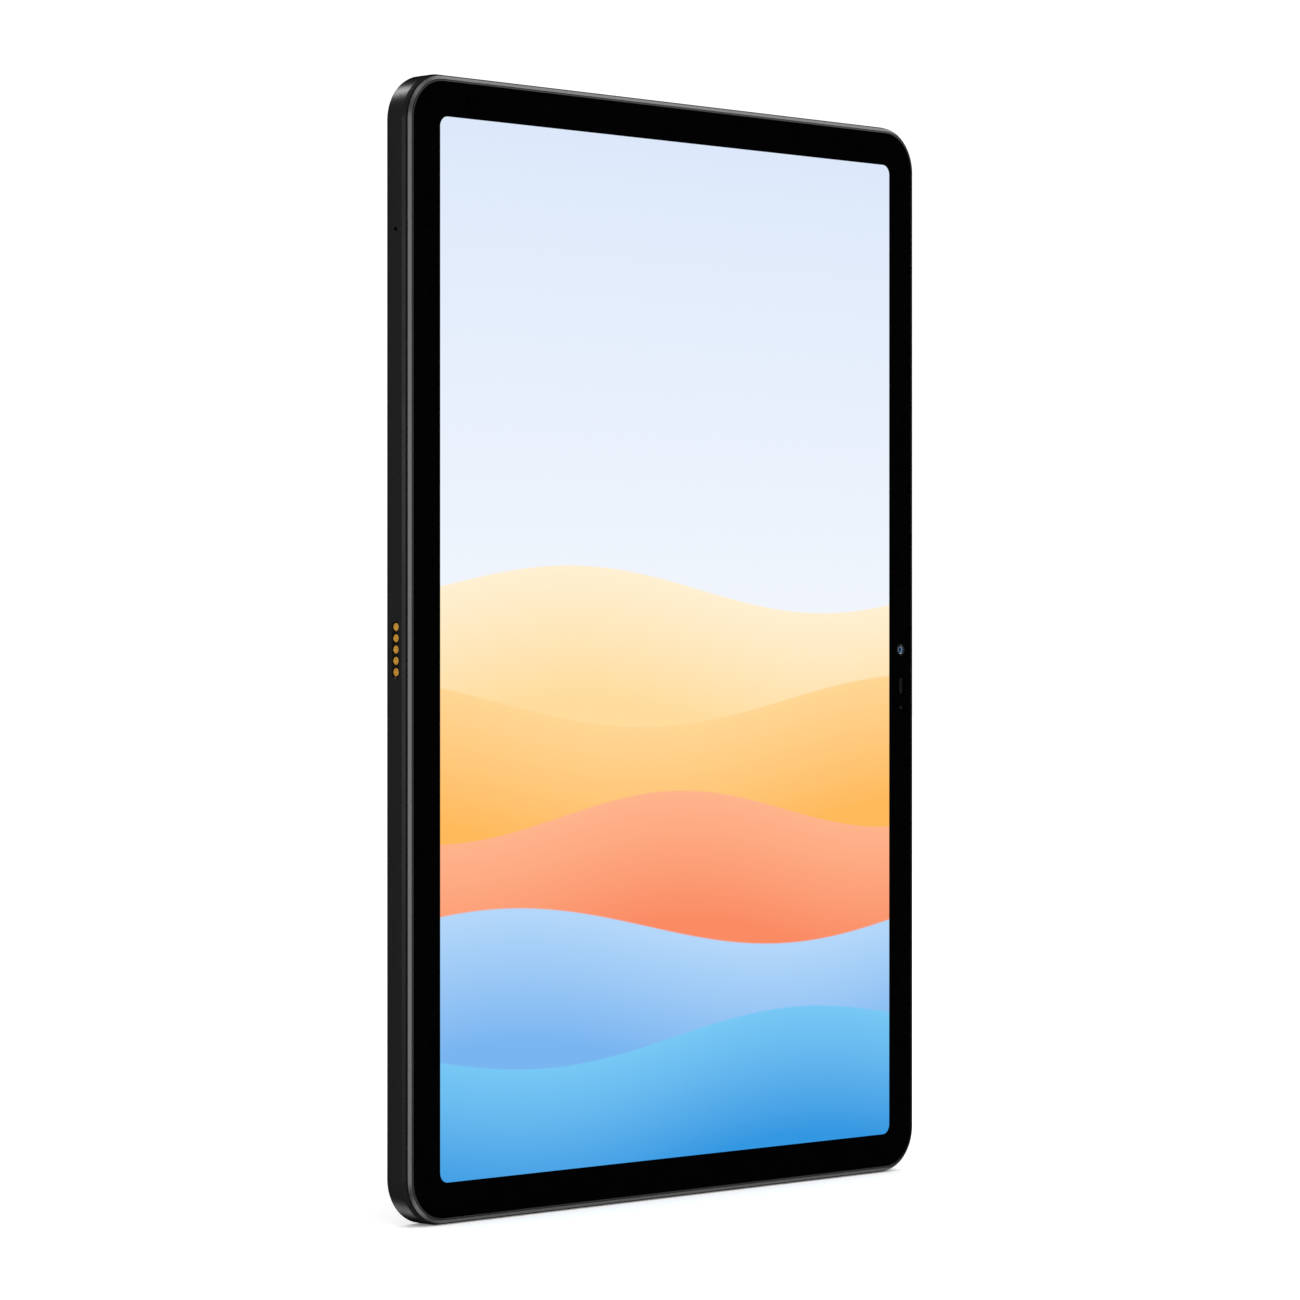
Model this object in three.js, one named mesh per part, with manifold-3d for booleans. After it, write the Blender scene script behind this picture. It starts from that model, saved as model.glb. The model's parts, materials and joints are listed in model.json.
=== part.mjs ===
// A tablet computer with an eleven-inch display, as an assembly of separate pieces.
// Units are millimetres. Every piece is drawn with the tablet lying flat: X across its width,
// Y up its length from the bottom edge, Z towards the screen. The last group stands it up, so the
// finished model has +Z up its length and its screen faces -Y.

import * as THREE from 'three';
import { mergeVertices } from 'three/addons/utils/BufferGeometryUtils.js';
import Module from 'manifold-3d';

const wasm = await Module();
wasm.setup();

// ---- Driving dimensions ----------------------------------------------------------------------

const WIDTH = 167.2;
const HEIGHT = 255.8;
const THICKNESS = 7.4;
const CORNER_RADIUS = 10.7;
const DISPLAY_WIDTH = 148.1;
const DISPLAY_HEIGHT = 236.9;

const WALL = 3;
const GLASS_INSET = 1.3;
const GLASS_GAP = 0.1;
const REAR_COVER_INSET = 2;
const REAR_COVER_GAP = 0.1;
const SEAT_GAP = 0.15;
const RUNNING_GAP = 0.15;

const PORT_DEPTH = 4.35; // centre line of everything set in the side walls, from the front face
const CONTACT_PITCH = 2.5;
const CONTACT_COUNT = 5;
const CONTACT_RADIUS = 0.92;
const MICROPHONE_DROP = 34.9; // from the top edge to the microphone hole
const CAMERA_OUTSET = 4.2; // from the display's edge to the front camera's axis
const SENSOR_DROP = 8.8;
const INDICATOR_DROP = 14.2;

const ROCKER_PROUD = 0.35;
const POWER_BUTTON_PROUD = 0; // the power button lies flush with the top edge
const BUTTON_WIDTH = 2.4;
const POWER_BUTTON_LENGTH = 12;
const VOLUME_ROCKER_LENGTH = 24;
const SPEAKER_SLOT_COUNT = 6;
const SPEAKER_SLOT_PITCH = 4.2;

// Layers through the thickness, each as [front, rear] distance behind the front face.
const GLASS = [0, 0.8];
const GASKET = [0.82, 0.98];
const PANEL = [0.85, 1.6];
const BACKLIGHT = [1.65, 2.45];
const PLATE = [2.75, 3.25];
const CELL = [3.5, 6.2];
const BOARD = [3.5, 4.1];
const ON_BOARD = [4.25, 4.37]; // flat cables that plug in on top of a board
const SHIELD = [4.2, 5.6];
const SPREADER = [5.75, 5.9];
const CONTACT_FLEX = [3.3, 3.42];
const BATTERY_BOARD = [4.2, 5.2];
const BATTERY_FLEX = [4.5, 4.62];
const KEY_FLEX = [5.95, 6.07];
const SPEAKER = [3.4, 6.3];
const SIDE_PIECE = [3.5, 5.6];
const FRONT_SENSOR = [1.1, 2.5];
const REAR_BAY_END = 6.5;
const REAR_COVER = [6.6, THICKNESS];

// Places on the flat drawing, from the bottom middle of the tablet.
const MIDDLE = HEIGHT / 2;
const INNER_X = WIDTH / 2 - WALL;
const INNER_TOP = HEIGHT - WALL;
const SPEAKER_X = 42;
const POWER_X = 63;
const VOLUME_Y = 217;
const TRAY_Y = 62;
const FRONT_CAMERA_X = DISPLAY_WIDTH / 2 + CAMERA_OUTSET;
const REAR_CAMERA = { x: 66, y: 233 };
const FLASH = { x: 66, y: 218.5 };
const MAIN_BOARD = { left: 44, right: 74.8, bottom: 78, top: 210 };
const SHIELD_X = 61.5;
const SHIELD_WIDTH = 22;
const PROCESSOR_SHIELD = { y: 178, length: 40 };
const POWER_SHIELD = { y: 106, length: 28 };
const HEAT_SPREADER = { y: 155, width: 24, length: 86 };
const USB_BOARD = { y: 20, width: 50, length: 22 };
const BATTERY = { left: -76, right: 41, bottom: 42, top: 200 };

const CORNER_STEPS = 7;
const ROUND_STEPS = 20;
const SMALL_ROUND_STEPS = 10;
const SLOT_STEPS = 3;
const OVERSHOOT = 1; // how far a cutting shape runs past the face that it opens

// ---- Materials -------------------------------------------------------------------------------

const FINISHES = {
  blackGlass: { color: 0x050506, roughness: 0.05, metalness: 0 },
  clearGlass: { color: 0x1a1c20, roughness: 0.05, metalness: 0 },
  display: { color: 0xd9dfe8, roughness: 0.2, metalness: 0 },
  backlight: { color: 0xe8e8ea, roughness: 0.6, metalness: 0 },
  darkMetal: { color: 0x1b1b1d, roughness: 0.4, metalness: 0.8 },
  rearMetal: { color: 0x1e1e21, roughness: 0.45, metalness: 0.7 },
  blackPlastic: { color: 0x0b0b0c, roughness: 0.5, metalness: 0 },
  gasket: { color: 0x101012, roughness: 0.9, metalness: 0 },
  gold: { color: 0xd79a32, roughness: 0.25, metalness: 1 },
  steel: { color: 0xa9abae, roughness: 0.3, metalness: 1 },
  copper: { color: 0xb0693c, roughness: 0.4, metalness: 1 },
  boardGreen: { color: 0x14482c, roughness: 0.5, metalness: 0 },
  cellWrap: { color: 0x26272b, roughness: 0.6, metalness: 0 },
  flexOrange: { color: 0xb5651d, roughness: 0.5, metalness: 0 },
  magnet: { color: 0x8b8d90, roughness: 0.35, metalness: 0.9 },
};

const tablet = new THREE.Group();

function addPiece(name, geometry, finish, x = 0, y = 0, z = 0) {
  const mesh = new THREE.Mesh(geometry, new THREE.MeshStandardMaterial(FINISHES[finish]));
  mesh.name = name;
  mesh.position.set(x, y, z);
  tablet.add(mesh);
}

// ---- Outlines, prisms and booleans -----------------------------------------------------------

function height(depth) {
  return THICKNESS / 2 - depth;
}

function roundedRectangle(width, length, radius) {
  const outline = new THREE.Shape();
  const x = width / 2 - radius;
  const y = length / 2 - radius;
  outline.absarc(x, y, radius, 0, Math.PI / 2);
  outline.absarc(-x, y, radius, Math.PI / 2, Math.PI);
  outline.absarc(-x, -y, radius, Math.PI, 1.5 * Math.PI);
  outline.absarc(x, -y, radius, 1.5 * Math.PI, 2 * Math.PI);
  return outline;
}

function stadium(length, width) {
  const outline = new THREE.Shape();
  const radius = width / 2;
  const x = length / 2 - radius;
  outline.absarc(x, 0, radius, -Math.PI / 2, Math.PI / 2);
  outline.absarc(-x, 0, radius, Math.PI / 2, 1.5 * Math.PI);
  return outline;
}

function rectangle(width, length) {
  return polygon([
    [-width / 2, -length / 2],
    [width / 2, -length / 2],
    [width / 2, length / 2],
    [-width / 2, length / 2],
  ]);
}

function polygon(corners) {
  return new THREE.Shape(corners.map(([x, y]) => new THREE.Vector2(x, y)));
}

// A prism that fills a layer: its outline faces the screen, between two depths.
function layer(outline, [front, rear], curveSegments = CORNER_STEPS) {
  const geometry = new THREE.ExtrudeGeometry(outline, {
    depth: rear - front,
    bevelEnabled: false,
    curveSegments,
  });
  return geometry.translate(0, 0, height(rear));
}

// A prism through a long side wall, from x = inner to x = outer, centred on the port line.
function acrossSide(outline, [inner, outer], curveSegments = SMALL_ROUND_STEPS / 2) {
  const geometry = new THREE.ExtrudeGeometry(outline, {
    depth: outer - inner,
    bevelEnabled: false,
    curveSegments,
  });
  return geometry.rotateZ(Math.PI / 2).rotateY(Math.PI / 2).translate(inner, 0, height(PORT_DEPTH));
}

// A prism through a short end wall, from y = inner to y = outer, centred on the port line.
function acrossEnd(outline, [inner, outer], curveSegments = SMALL_ROUND_STEPS / 2) {
  const geometry = new THREE.ExtrudeGeometry(outline, {
    depth: outer - inner,
    bevelEnabled: false,
    curveSegments,
  });
  return geometry.rotateX(-Math.PI / 2).translate(0, inner, height(PORT_DEPTH));
}

function roundLayer(radius, [front, rear], steps = ROUND_STEPS) {
  const geometry = new THREE.CylinderGeometry(radius, radius, rear - front, steps);
  return geometry.rotateX(Math.PI / 2).translate(0, 0, (height(front) + height(rear)) / 2);
}

function roundAcrossSide(radius, [inner, outer], steps = SMALL_ROUND_STEPS) {
  const geometry = new THREE.CylinderGeometry(radius, radius, outer - inner, steps);
  return geometry.rotateZ(Math.PI / 2).translate((inner + outer) / 2, 0, height(PORT_DEPTH));
}

function bodyOutline(inset) {
  return roundedRectangle(WIDTH - 2 * inset, HEIGHT - 2 * inset, CORNER_RADIUS - inset);
}

// The whole body outline as one layer, inset all round and centred on the tablet.
function bodyLayer(inset, depths) {
  return layer(bodyOutline(inset), depths).translate(0, MIDDLE, 0);
}

// A closed skin over body outlines stacked from front to rear, each as [depth, inset].
function bodySkin(stations) {
  const positions = [];
  const triangles = [];
  for (const [depth, inset] of stations) {
    for (const point of bodyOutline(inset).getPoints(CORNER_STEPS)) {
      positions.push(point.x, point.y + MIDDLE, height(depth));
    }
  }
  const count = positions.length / 3 / stations.length;
  for (let ring = 0; ring + 1 < stations.length; ring += 1) {
    for (let i = 0; i < count; i += 1) {
      const front = ring * count + i;
      const frontNext = ring * count + ((i + 1) % count);
      triangles.push(front, front + count, frontNext + count, front, frontNext + count, frontNext);
    }
  }
  const last = (stations.length - 1) * count;
  for (let i = 1; i + 1 < count; i += 1) {
    triangles.push(0, i, i + 1);
    triangles.push(last, last + i + 1, last + i);
  }
  const geometry = new THREE.BufferGeometry();
  geometry.setAttribute('position', new THREE.Float32BufferAttribute(positions, 3));
  geometry.setIndex(triangles);
  return geometry;
}

function toSolid(geometry) {
  const bare = geometry.clone();
  bare.deleteAttribute('normal');
  bare.deleteAttribute('uv');
  const merged = mergeVertices(bare);
  return new wasm.Manifold(
    new wasm.Mesh({
      numProp: 3,
      vertProperties: new Float32Array(merged.attributes.position.array),
      triVerts: new Uint32Array(merged.index.array),
    }),
  );
}

function toGeometry(solid) {
  const mesh = solid.getMesh();
  const geometry = new THREE.BufferGeometry();
  geometry.setAttribute('position', new THREE.BufferAttribute(mesh.vertProperties, 3));
  geometry.setIndex(new THREE.BufferAttribute(mesh.triVerts, 1));
  return geometry;
}

function cut(base, tools) {
  return toGeometry(tools.reduce((solid, tool) => solid.subtract(toSolid(tool)), toSolid(base)));
}

function join(...parts) {
  return toGeometry(parts.map(toSolid).reduce((whole, part) => whole.add(part)));
}

// ---- Screen ----------------------------------------------------------------------------------

function addScreen() {
  const edgeDrop = 0.15;
  const edgeInset = 0.45;
  addPiece(
    'cover_glass',
    bodySkin([
      [GLASS[0], GLASS_INSET + edgeInset],
      [edgeDrop / 3, GLASS_INSET + edgeInset / 3],
      [edgeDrop, GLASS_INSET],
      [GLASS[1], GLASS_INSET],
    ]),
    'blackGlass',
  );

  const gasketInset = GLASS_INSET + 0.2;
  const gasketWidth = 1.3;
  const gasket = cut(bodyLayer(gasketInset, GASKET), [
    bodyLayer(gasketInset + gasketWidth, [GASKET[0] - OVERSHOOT, GASKET[1] + OVERSHOOT]),
  ]);
  addPiece('display_gasket', gasket, 'gasket');

  const panelBorder = 1.95;
  const panelOutline = roundedRectangle(
    DISPLAY_WIDTH + 2 * panelBorder,
    DISPLAY_HEIGHT + 2 * panelBorder,
    4,
  );
  addPiece('lcd_panel', layer(panelOutline, PANEL, 4), 'display', 0, MIDDLE);
  addPiece('backlight_unit', layer(panelOutline, BACKLIGHT, 4), 'backlight', 0, MIDDLE);
}

// The display cable folds from behind the backlight, through the mid plate, onto the main board.
const DISPLAY_FLEX = { left: 34, bend: 42.5, right: 49, y: 140, width: 18, thickness: 0.1, slot: 1.2 };

function addDisplayFlex() {
  const { left, bend, right, y, width, thickness } = DISPLAY_FLEX;
  const half = thickness / 2;
  const upper = -height((BACKLIGHT[1] + PLATE[0]) / 2);
  const lower = -height(BOARD[1] + 0.12);
  const strip = polygon([
    [left, upper - half],
    [bend + half, upper - half],
    [bend + half, lower - half],
    [right, lower - half],
    [right, lower + half],
    [bend - half, lower + half],
    [bend - half, upper + half],
    [left, upper + half],
  ]);
  const geometry = new THREE.ExtrudeGeometry(strip, { depth: width, bevelEnabled: false });
  addPiece('display_flex', geometry.rotateX(-Math.PI / 2), 'flexOrange', 0, y - width / 2);
}

// ---- Housing ---------------------------------------------------------------------------------

const LIP = { depth: 0.15, inset: 1.15 };
const CHAMFER_END = { depth: 0.64, inset: 0.39 };
const GROOVE = { end: 0.95, inset: 0.52 };
const REAR_ROUNDING = 0.7;
const REAR_ROUNDING_STEPS = 3;
const LEDGE_DEPTH = 1;

// From the lip round the glass, down a chamfer and a fine groove, to the flat side and the back.
function frameProfile() {
  const stations = [
    [LIP.depth, LIP.inset],
    [CHAMFER_END.depth, CHAMFER_END.inset],
    [CHAMFER_END.depth, GROOVE.inset],
    [GROOVE.end, GROOVE.inset],
    [GROOVE.end, 0],
  ];
  for (let i = 0; i <= REAR_ROUNDING_STEPS; i += 1) {
    const angle = (i / REAR_ROUNDING_STEPS) * (Math.PI / 2);
    const depth = THICKNESS - REAR_ROUNDING * (1 - Math.sin(angle));
    stations.push([depth, REAR_ROUNDING * (1 - Math.cos(angle))]);
  }
  return stations;
}

const USB = {
  width: 8.94,
  height: 3.2,
  wall: 0.3,
  length: 7,
  mouth: 0.25,
  gap: 0.1,
  tongueWidth: 6.7,
  tongueHeight: 0.7,
};
const TRAY = { headLength: 20.5, headHeight: 2.2, headDepth: 1.6, plateWidth: 14.5, plateLength: 22 };
const TRAY_PLATE_HEIGHT = 0.7;
const CARD = { length: 15.2, width: 11.2, border: 1.6 };
const TRAY_RECESS = 1.8;
const EJECT_OFFSET = 8.7;
const EJECT_RADIUS = 0.45;
const MICROPHONE_RADIUS = 0.5;
const CONTACT_BLOCK = { length: 12.4, height: 2.3 };
const CAMERA_RING_RADIUS = 8;
const CAMERA_RING_RISE = 1;
const FRONT_BARREL = { radius: 1.75, depths: [0.95, 4] };
const FLASH_RADIUS = 2.4;
const SCREW_HOLE_RADIUS = 0.75;
const SCREW_PLACES = [
  [MAIN_BOARD.left + 2.5, MAIN_BOARD.top - 2.5],
  [MAIN_BOARD.right - 2.5, MAIN_BOARD.top - 2.5],
  [MAIN_BOARD.left + 2.5, MAIN_BOARD.bottom + 2.5],
  [MAIN_BOARD.right - 2.5, MAIN_BOARD.bottom + 2.5],
];

function speakerSlots() {
  const slotLength = 3;
  const slotWidth = 1.2;
  const tools = [];
  for (const side of [-1, 1]) {
    for (let i = 0; i < SPEAKER_SLOT_COUNT; i += 1) {
      const x = side * SPEAKER_X + (i - (SPEAKER_SLOT_COUNT - 1) / 2) * SPEAKER_SLOT_PITCH;
      const outline = stadium(slotLength, slotWidth);
      tools.push(acrossEnd(outline, [-OVERSHOOT, WALL + OVERSHOOT], SLOT_STEPS).translate(x, 0, 0));
      const top = acrossEnd(outline, [INNER_TOP - OVERSHOOT, HEIGHT + OVERSHOOT], SLOT_STEPS);
      tools.push(top.translate(x, 0, 0));
    }
  }
  return tools;
}

function sideWallTools() {
  const outside = WIDTH / 2 + OVERSHOOT;
  const inside = INNER_X - OVERSHOOT;
  const rockerHole = stadium(VOLUME_ROCKER_LENGTH + 2 * RUNNING_GAP, BUTTON_WIDTH + 2 * RUNNING_GAP);
  const recess = stadium(TRAY.headLength + 2 * RUNNING_GAP, TRAY.headHeight + 2 * RUNNING_GAP);
  const channel = rectangle(TRAY.plateWidth + 4 * RUNNING_GAP, TRAY_PLATE_HEIGHT + 4 * RUNNING_GAP);
  const block = stadium(CONTACT_BLOCK.length + SEAT_GAP, CONTACT_BLOCK.height + SEAT_GAP);
  return [
    acrossSide(rockerHole, [inside, outside]).translate(0, VOLUME_Y, 0),
    acrossSide(recess, [WIDTH / 2 - TRAY_RECESS, outside]).translate(0, TRAY_Y, 0),
    acrossSide(channel, [inside, outside]).translate(0, TRAY_Y, 0),
    roundAcrossSide(EJECT_RADIUS, [inside, outside], 8).translate(0, TRAY_Y + EJECT_OFFSET, 0),
    acrossSide(block, [-outside, -inside]).translate(0, MIDDLE, 0),
    roundAcrossSide(MICROPHONE_RADIUS, [-outside, -inside]).translate(0, HEIGHT - MICROPHONE_DROP, 0),
  ];
}

function endWallTools() {
  const port = stadium(USB.width + 2 * USB.gap, USB.height + 2 * USB.gap);
  const buttonHole = stadium(POWER_BUTTON_LENGTH + 2 * RUNNING_GAP, BUTTON_WIDTH + 2 * RUNNING_GAP);
  return [
    acrossEnd(port, [-OVERSHOOT, WALL + OVERSHOOT]),
    acrossEnd(buttonHole, [INNER_TOP - OVERSHOOT, HEIGHT + OVERSHOOT]).translate(POWER_X, 0, 0),
    ...speakerSlots(),
  ];
}

function screwHoles(through) {
  return SCREW_PLACES.map(([x, y]) => roundLayer(SCREW_HOLE_RADIUS, through, 8).translate(x, y, 0));
}

function platePassages() {
  const through = [PLATE[0] - OVERSHOOT / 10, PLATE[1] + OVERSHOOT / 10];
  const cameraHole = roundLayer(FRONT_BARREL.radius + 0.35, through, 16);
  cameraHole.translate(FRONT_CAMERA_X, MIDDLE, 0);
  const usbNotch = layer(rectangle(USB.width + 1, USB.length + 1), through);
  usbNotch.translate(0, (USB.length + 1) / 2 + WALL - 0.5, 0);
  const flexSlot = layer(rectangle(DISPLAY_FLEX.slot, DISPLAY_FLEX.width + 2), through);
  flexSlot.translate(DISPLAY_FLEX.bend, DISPLAY_FLEX.y, 0);
  return [cameraHole, usbNotch, flexSlot, ...screwHoles(through)];
}

function addHousing() {
  const pocket = bodyLayer(GLASS_INSET - GLASS_GAP, [-OVERSHOOT, LEDGE_DEPTH]);
  const displayBay = bodyLayer(WALL, [-OVERSHOOT, PLATE[0]]);
  const rearBay = bodyLayer(WALL, [PLATE[1], THICKNESS + OVERSHOOT]);
  const coverSeat = bodyLayer(REAR_COVER_INSET - REAR_COVER_GAP, [REAR_BAY_END, THICKNESS + OVERSHOOT]);
  const frame = cut(bodySkin(frameProfile()), [
    pocket,
    displayBay,
    rearBay,
    coverSeat,
    ...sideWallTools(),
    ...endWallTools(),
    ...platePassages(),
  ]);
  addPiece('mid_frame', frame, 'darkMetal');

  const coverThrough = [REAR_COVER[0] - OVERSHOOT, REAR_COVER[1] + OVERSHOOT];
  const cameraHole = roundLayer(CAMERA_RING_RADIUS + 0.2, coverThrough, 28);
  const flashHole = roundLayer(FLASH_RADIUS + 0.15, coverThrough, 20);
  const cover = cut(bodyLayer(REAR_COVER_INSET, REAR_COVER), [
    cameraHole.translate(REAR_CAMERA.x, REAR_CAMERA.y, 0),
    flashHole.translate(FLASH.x, FLASH.y, 0),
  ]);
  addPiece('rear_cover', cover, 'rearMetal');
}

// ---- Battery and boards ----------------------------------------------------------------------

function addBattery() {
  const cellGap = 1.5;
  const cellWidth = (BATTERY.right - BATTERY.left - cellGap) / 2;
  const cellLength = BATTERY.top - BATTERY.bottom;
  const cellMiddle = (BATTERY.bottom + BATTERY.top) / 2;
  const batteryMiddle = (BATTERY.left + BATTERY.right) / 2;
  const cell = layer(roundedRectangle(cellWidth, cellLength, 1.5), CELL, 3);
  const offset = (cellWidth + cellGap) / 2;
  addPiece('battery_cell_left', cell, 'cellWrap', batteryMiddle - offset, cellMiddle);
  addPiece('battery_cell_right', cell, 'cellWrap', batteryMiddle + offset, cellMiddle);

  const boardBorder = 2;
  const boardLength = 6;
  const boardWidth = BATTERY.right - BATTERY.left - 2 * boardBorder;
  const boardPlace = BATTERY.top + 4.5;
  const board = layer(rectangle(boardWidth, boardLength), BATTERY_BOARD);
  addPiece('battery_board', board, 'boardGreen', batteryMiddle, boardPlace);

  const flexStart = BATTERY.right - boardBorder + 0.5;
  const flexEnd = MAIN_BOARD.left + 6.5;
  const flex = layer(rectangle(flexEnd - flexStart, boardLength / 2), BATTERY_FLEX);
  addPiece('battery_flex', flex, 'flexOrange', (flexStart + flexEnd) / 2, boardPlace);
}

function addMainBoard() {
  const width = MAIN_BOARD.right - MAIN_BOARD.left;
  const length = MAIN_BOARD.top - MAIN_BOARD.bottom;
  const middle = (MAIN_BOARD.left + MAIN_BOARD.right) / 2;
  const through = [BOARD[0] - OVERSHOOT, BOARD[1] + OVERSHOOT];
  const blank = layer(roundedRectangle(width, length, 1.5), BOARD, 3);
  const board = cut(
    blank.translate(middle, MAIN_BOARD.bottom + length / 2, 0),
    screwHoles(through),
  );
  addPiece('main_board', board, 'boardGreen');

  const can = layer(roundedRectangle(SHIELD_WIDTH, PROCESSOR_SHIELD.length, 1), SHIELD, 3);
  addPiece('processor_shield', can, 'steel', SHIELD_X, PROCESSOR_SHIELD.y);
  const smallCan = layer(roundedRectangle(SHIELD_WIDTH, POWER_SHIELD.length, 1), SHIELD, 3);
  addPiece('power_shield', smallCan, 'steel', SHIELD_X, POWER_SHIELD.y);
  const spreader = layer(roundedRectangle(HEAT_SPREADER.width, HEAT_SPREADER.length, 2), SPREADER, 3);
  addPiece('heat_spreader', spreader, 'copper', SHIELD_X, HEAT_SPREADER.y);

  const headDepths = [BOARD[1] + 0.1, BOARD[1] + 0.7];
  const head = roundLayer(1.2, headDepths, SMALL_ROUND_STEPS);
  const shank = roundLayer(0.5, [PLATE[0] + 0.25, headDepths[0] + 0.1], 8);
  const screw = join(head, shank);
  SCREW_PLACES.forEach(([x, y], i) => addPiece(`board_screw_${i + 1}`, screw, 'steel', x, y));
}

// ---- Charging port ---------------------------------------------------------------------------

function addPort() {
  const ends = [USB.mouth, USB.mouth + USB.length];
  const shellOutline = stadium(USB.width, USB.height);
  const hollowOutline = stadium(USB.width - 2 * USB.wall, USB.height - 2 * USB.wall);
  const hollow = acrossEnd(hollowOutline, [ends[0] - OVERSHOOT, ends[1] - USB.wall]);
  addPiece('usb_c_shell', cut(acrossEnd(shellOutline, ends), [hollow]), 'steel');

  const inside = 2 * (USB.wall + USB.gap);
  const baseOutline = stadium(USB.width - inside, USB.height - inside);
  const base = acrossEnd(baseOutline, [ends[1] - 2, ends[1] - USB.wall - USB.gap]);
  const tongueOutline = rectangle(USB.tongueWidth, USB.tongueHeight);
  const tongue = acrossEnd(tongueOutline, [ends[0] + 0.8, ends[1] - 1.5]);
  addPiece('usb_c_tongue', join(base, tongue), 'blackPlastic');

  const board = layer(roundedRectangle(USB_BOARD.width, USB_BOARD.length, 1.5), BOARD, 3);
  addPiece('usb_board', board, 'boardGreen', 0, USB_BOARD.y);
}

// An L-shaped flat cable from the port's board, round the battery, up to the main board.
function addLinkFlex() {
  const width = 6;
  const start = USB_BOARD.width / 2 - 5;
  const right = MAIN_BOARD.left + 13;
  const top = MAIN_BOARD.bottom + width;
  const bottom = USB_BOARD.y;
  const link = polygon([
    [start, bottom],
    [right, bottom],
    [right, top],
    [right - width, top],
    [right - width, bottom + width],
    [start, bottom + width],
  ]);
  addPiece('link_flex', layer(link, ON_BOARD), 'flexOrange');
}

// ---- Speakers --------------------------------------------------------------------------------

function addSpeakers() {
  const boxWidth = 28;
  const boxLength = 12.5;
  const meshThickness = 0.25;
  const box = layer(roundedRectangle(boxWidth, boxLength, 2), SPEAKER, 3);
  const meshOutline = stadium(boxWidth - 2, 2);
  const meshPlate = acrossEnd(meshOutline, [-meshThickness / 2, meshThickness / 2], SLOT_STEPS);
  const meshOffset = WALL + SEAT_GAP + meshThickness / 2;
  const boxOffset = WALL + 2 * SEAT_GAP + meshThickness + boxLength / 2;
  const sides = { left: -SPEAKER_X, right: SPEAKER_X };
  for (const [side, x] of Object.entries(sides)) {
    addPiece(`speaker_mesh_bottom_${side}`, meshPlate, 'steel', x, meshOffset);
    addPiece(`speaker_mesh_top_${side}`, meshPlate, 'steel', x, HEIGHT - meshOffset);
    addPiece(`speaker_bottom_${side}`, box, 'blackPlastic', x, boxOffset);
    addPiece(`speaker_top_${side}`, box, 'blackPlastic', x, HEIGHT - boxOffset);
  }
}

// ---- Cameras and sensors ---------------------------------------------------------------------

function addRearCamera() {
  const { x, y } = REAR_CAMERA;
  const moduleSize = 12;
  const moduleDepths = [3.4, 6.45];
  const boreRadius = 3.6;
  const body = layer(roundedRectangle(moduleSize, moduleSize, 1), moduleDepths, 3);
  const bore = roundLayer(boreRadius, [moduleDepths[0] + 0.6, moduleDepths[1] + OVERSHOOT]);
  addPiece('rear_camera_module', cut(body, [bore]), 'blackPlastic', x, y);

  const barrelDepths = [4.3, 6.6];
  const lensRadius = 2;
  const barrel = roundLayer(boreRadius - 2 * RUNNING_GAP, barrelDepths);
  const lensRecess = roundLayer(lensRadius, [barrelDepths[1] - 0.5, barrelDepths[1] + OVERSHOOT]);
  addPiece('rear_lens_barrel', cut(barrel, [lensRecess]), 'blackPlastic', x, y);

  const ringBottom = REAR_COVER[0] + 0.15;
  const ringTop = THICKNESS + CAMERA_RING_RISE;
  const ringBevel = 0.3;
  const openingRadius = 4.6;
  const windowSeat = THICKNESS + 0.1;
  const windowRadius = 5.7;
  const ringProfile = [
    [openingRadius, ringBottom],
    [CAMERA_RING_RADIUS, ringBottom],
    [CAMERA_RING_RADIUS, ringTop - ringBevel],
    [CAMERA_RING_RADIUS - ringBevel, ringTop],
    [windowRadius + SEAT_GAP, ringTop],
    [windowRadius + SEAT_GAP, windowSeat],
    [openingRadius, windowSeat],
    [openingRadius, ringBottom],
  ];
  const profile = ringProfile.map(([radius, depth]) => new THREE.Vector2(radius, -height(depth)));
  const ring = new THREE.LatheGeometry(profile, 28).rotateX(-Math.PI / 2);
  addPiece('rear_camera_ring', ring, 'darkMetal', x, y);
  const windowDepths = [windowSeat + 0.1, ringTop - 0.1];
  addPiece('rear_camera_window', roundLayer(windowRadius, windowDepths, 28), 'clearGlass', x, y);

  const flashDepths = [REAR_COVER[0] + 0.1, REAR_COVER[1] - 0.05];
  addPiece('flash_window', roundLayer(FLASH_RADIUS, flashDepths, 20), 'display', FLASH.x, FLASH.y);
  const ledDepths = [REAR_COVER[0] - 1, REAR_COVER[0] - 0.2];
  addPiece('flash_led', layer(rectangle(3, 3), ledDepths), 'display', FLASH.x, FLASH.y);
}

function addFrontCamera() {
  const barrel = roundLayer(FRONT_BARREL.radius, FRONT_BARREL.depths, 20);
  const bodyDepths = [PLATE[1] + 0.15, SIDE_PIECE[1]];
  const body = layer(rectangle(4.8, 6), bodyDepths).translate(-0.7, 0, 0);
  addPiece('front_camera', join(barrel, body), 'blackPlastic', FRONT_CAMERA_X, MIDDLE);
  const sensor = layer(rectangle(3, 5), FRONT_SENSOR);
  addPiece('light_sensor', sensor, 'blackPlastic', FRONT_CAMERA_X, MIDDLE - SENSOR_DROP);
  const indicator = layer(rectangle(1.6, 1.6), FRONT_SENSOR);
  addPiece('indicator_led', indicator, 'display', FRONT_CAMERA_X, MIDDLE - INDICATOR_DROP);
}

// ---- Buttons ---------------------------------------------------------------------------------

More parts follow.
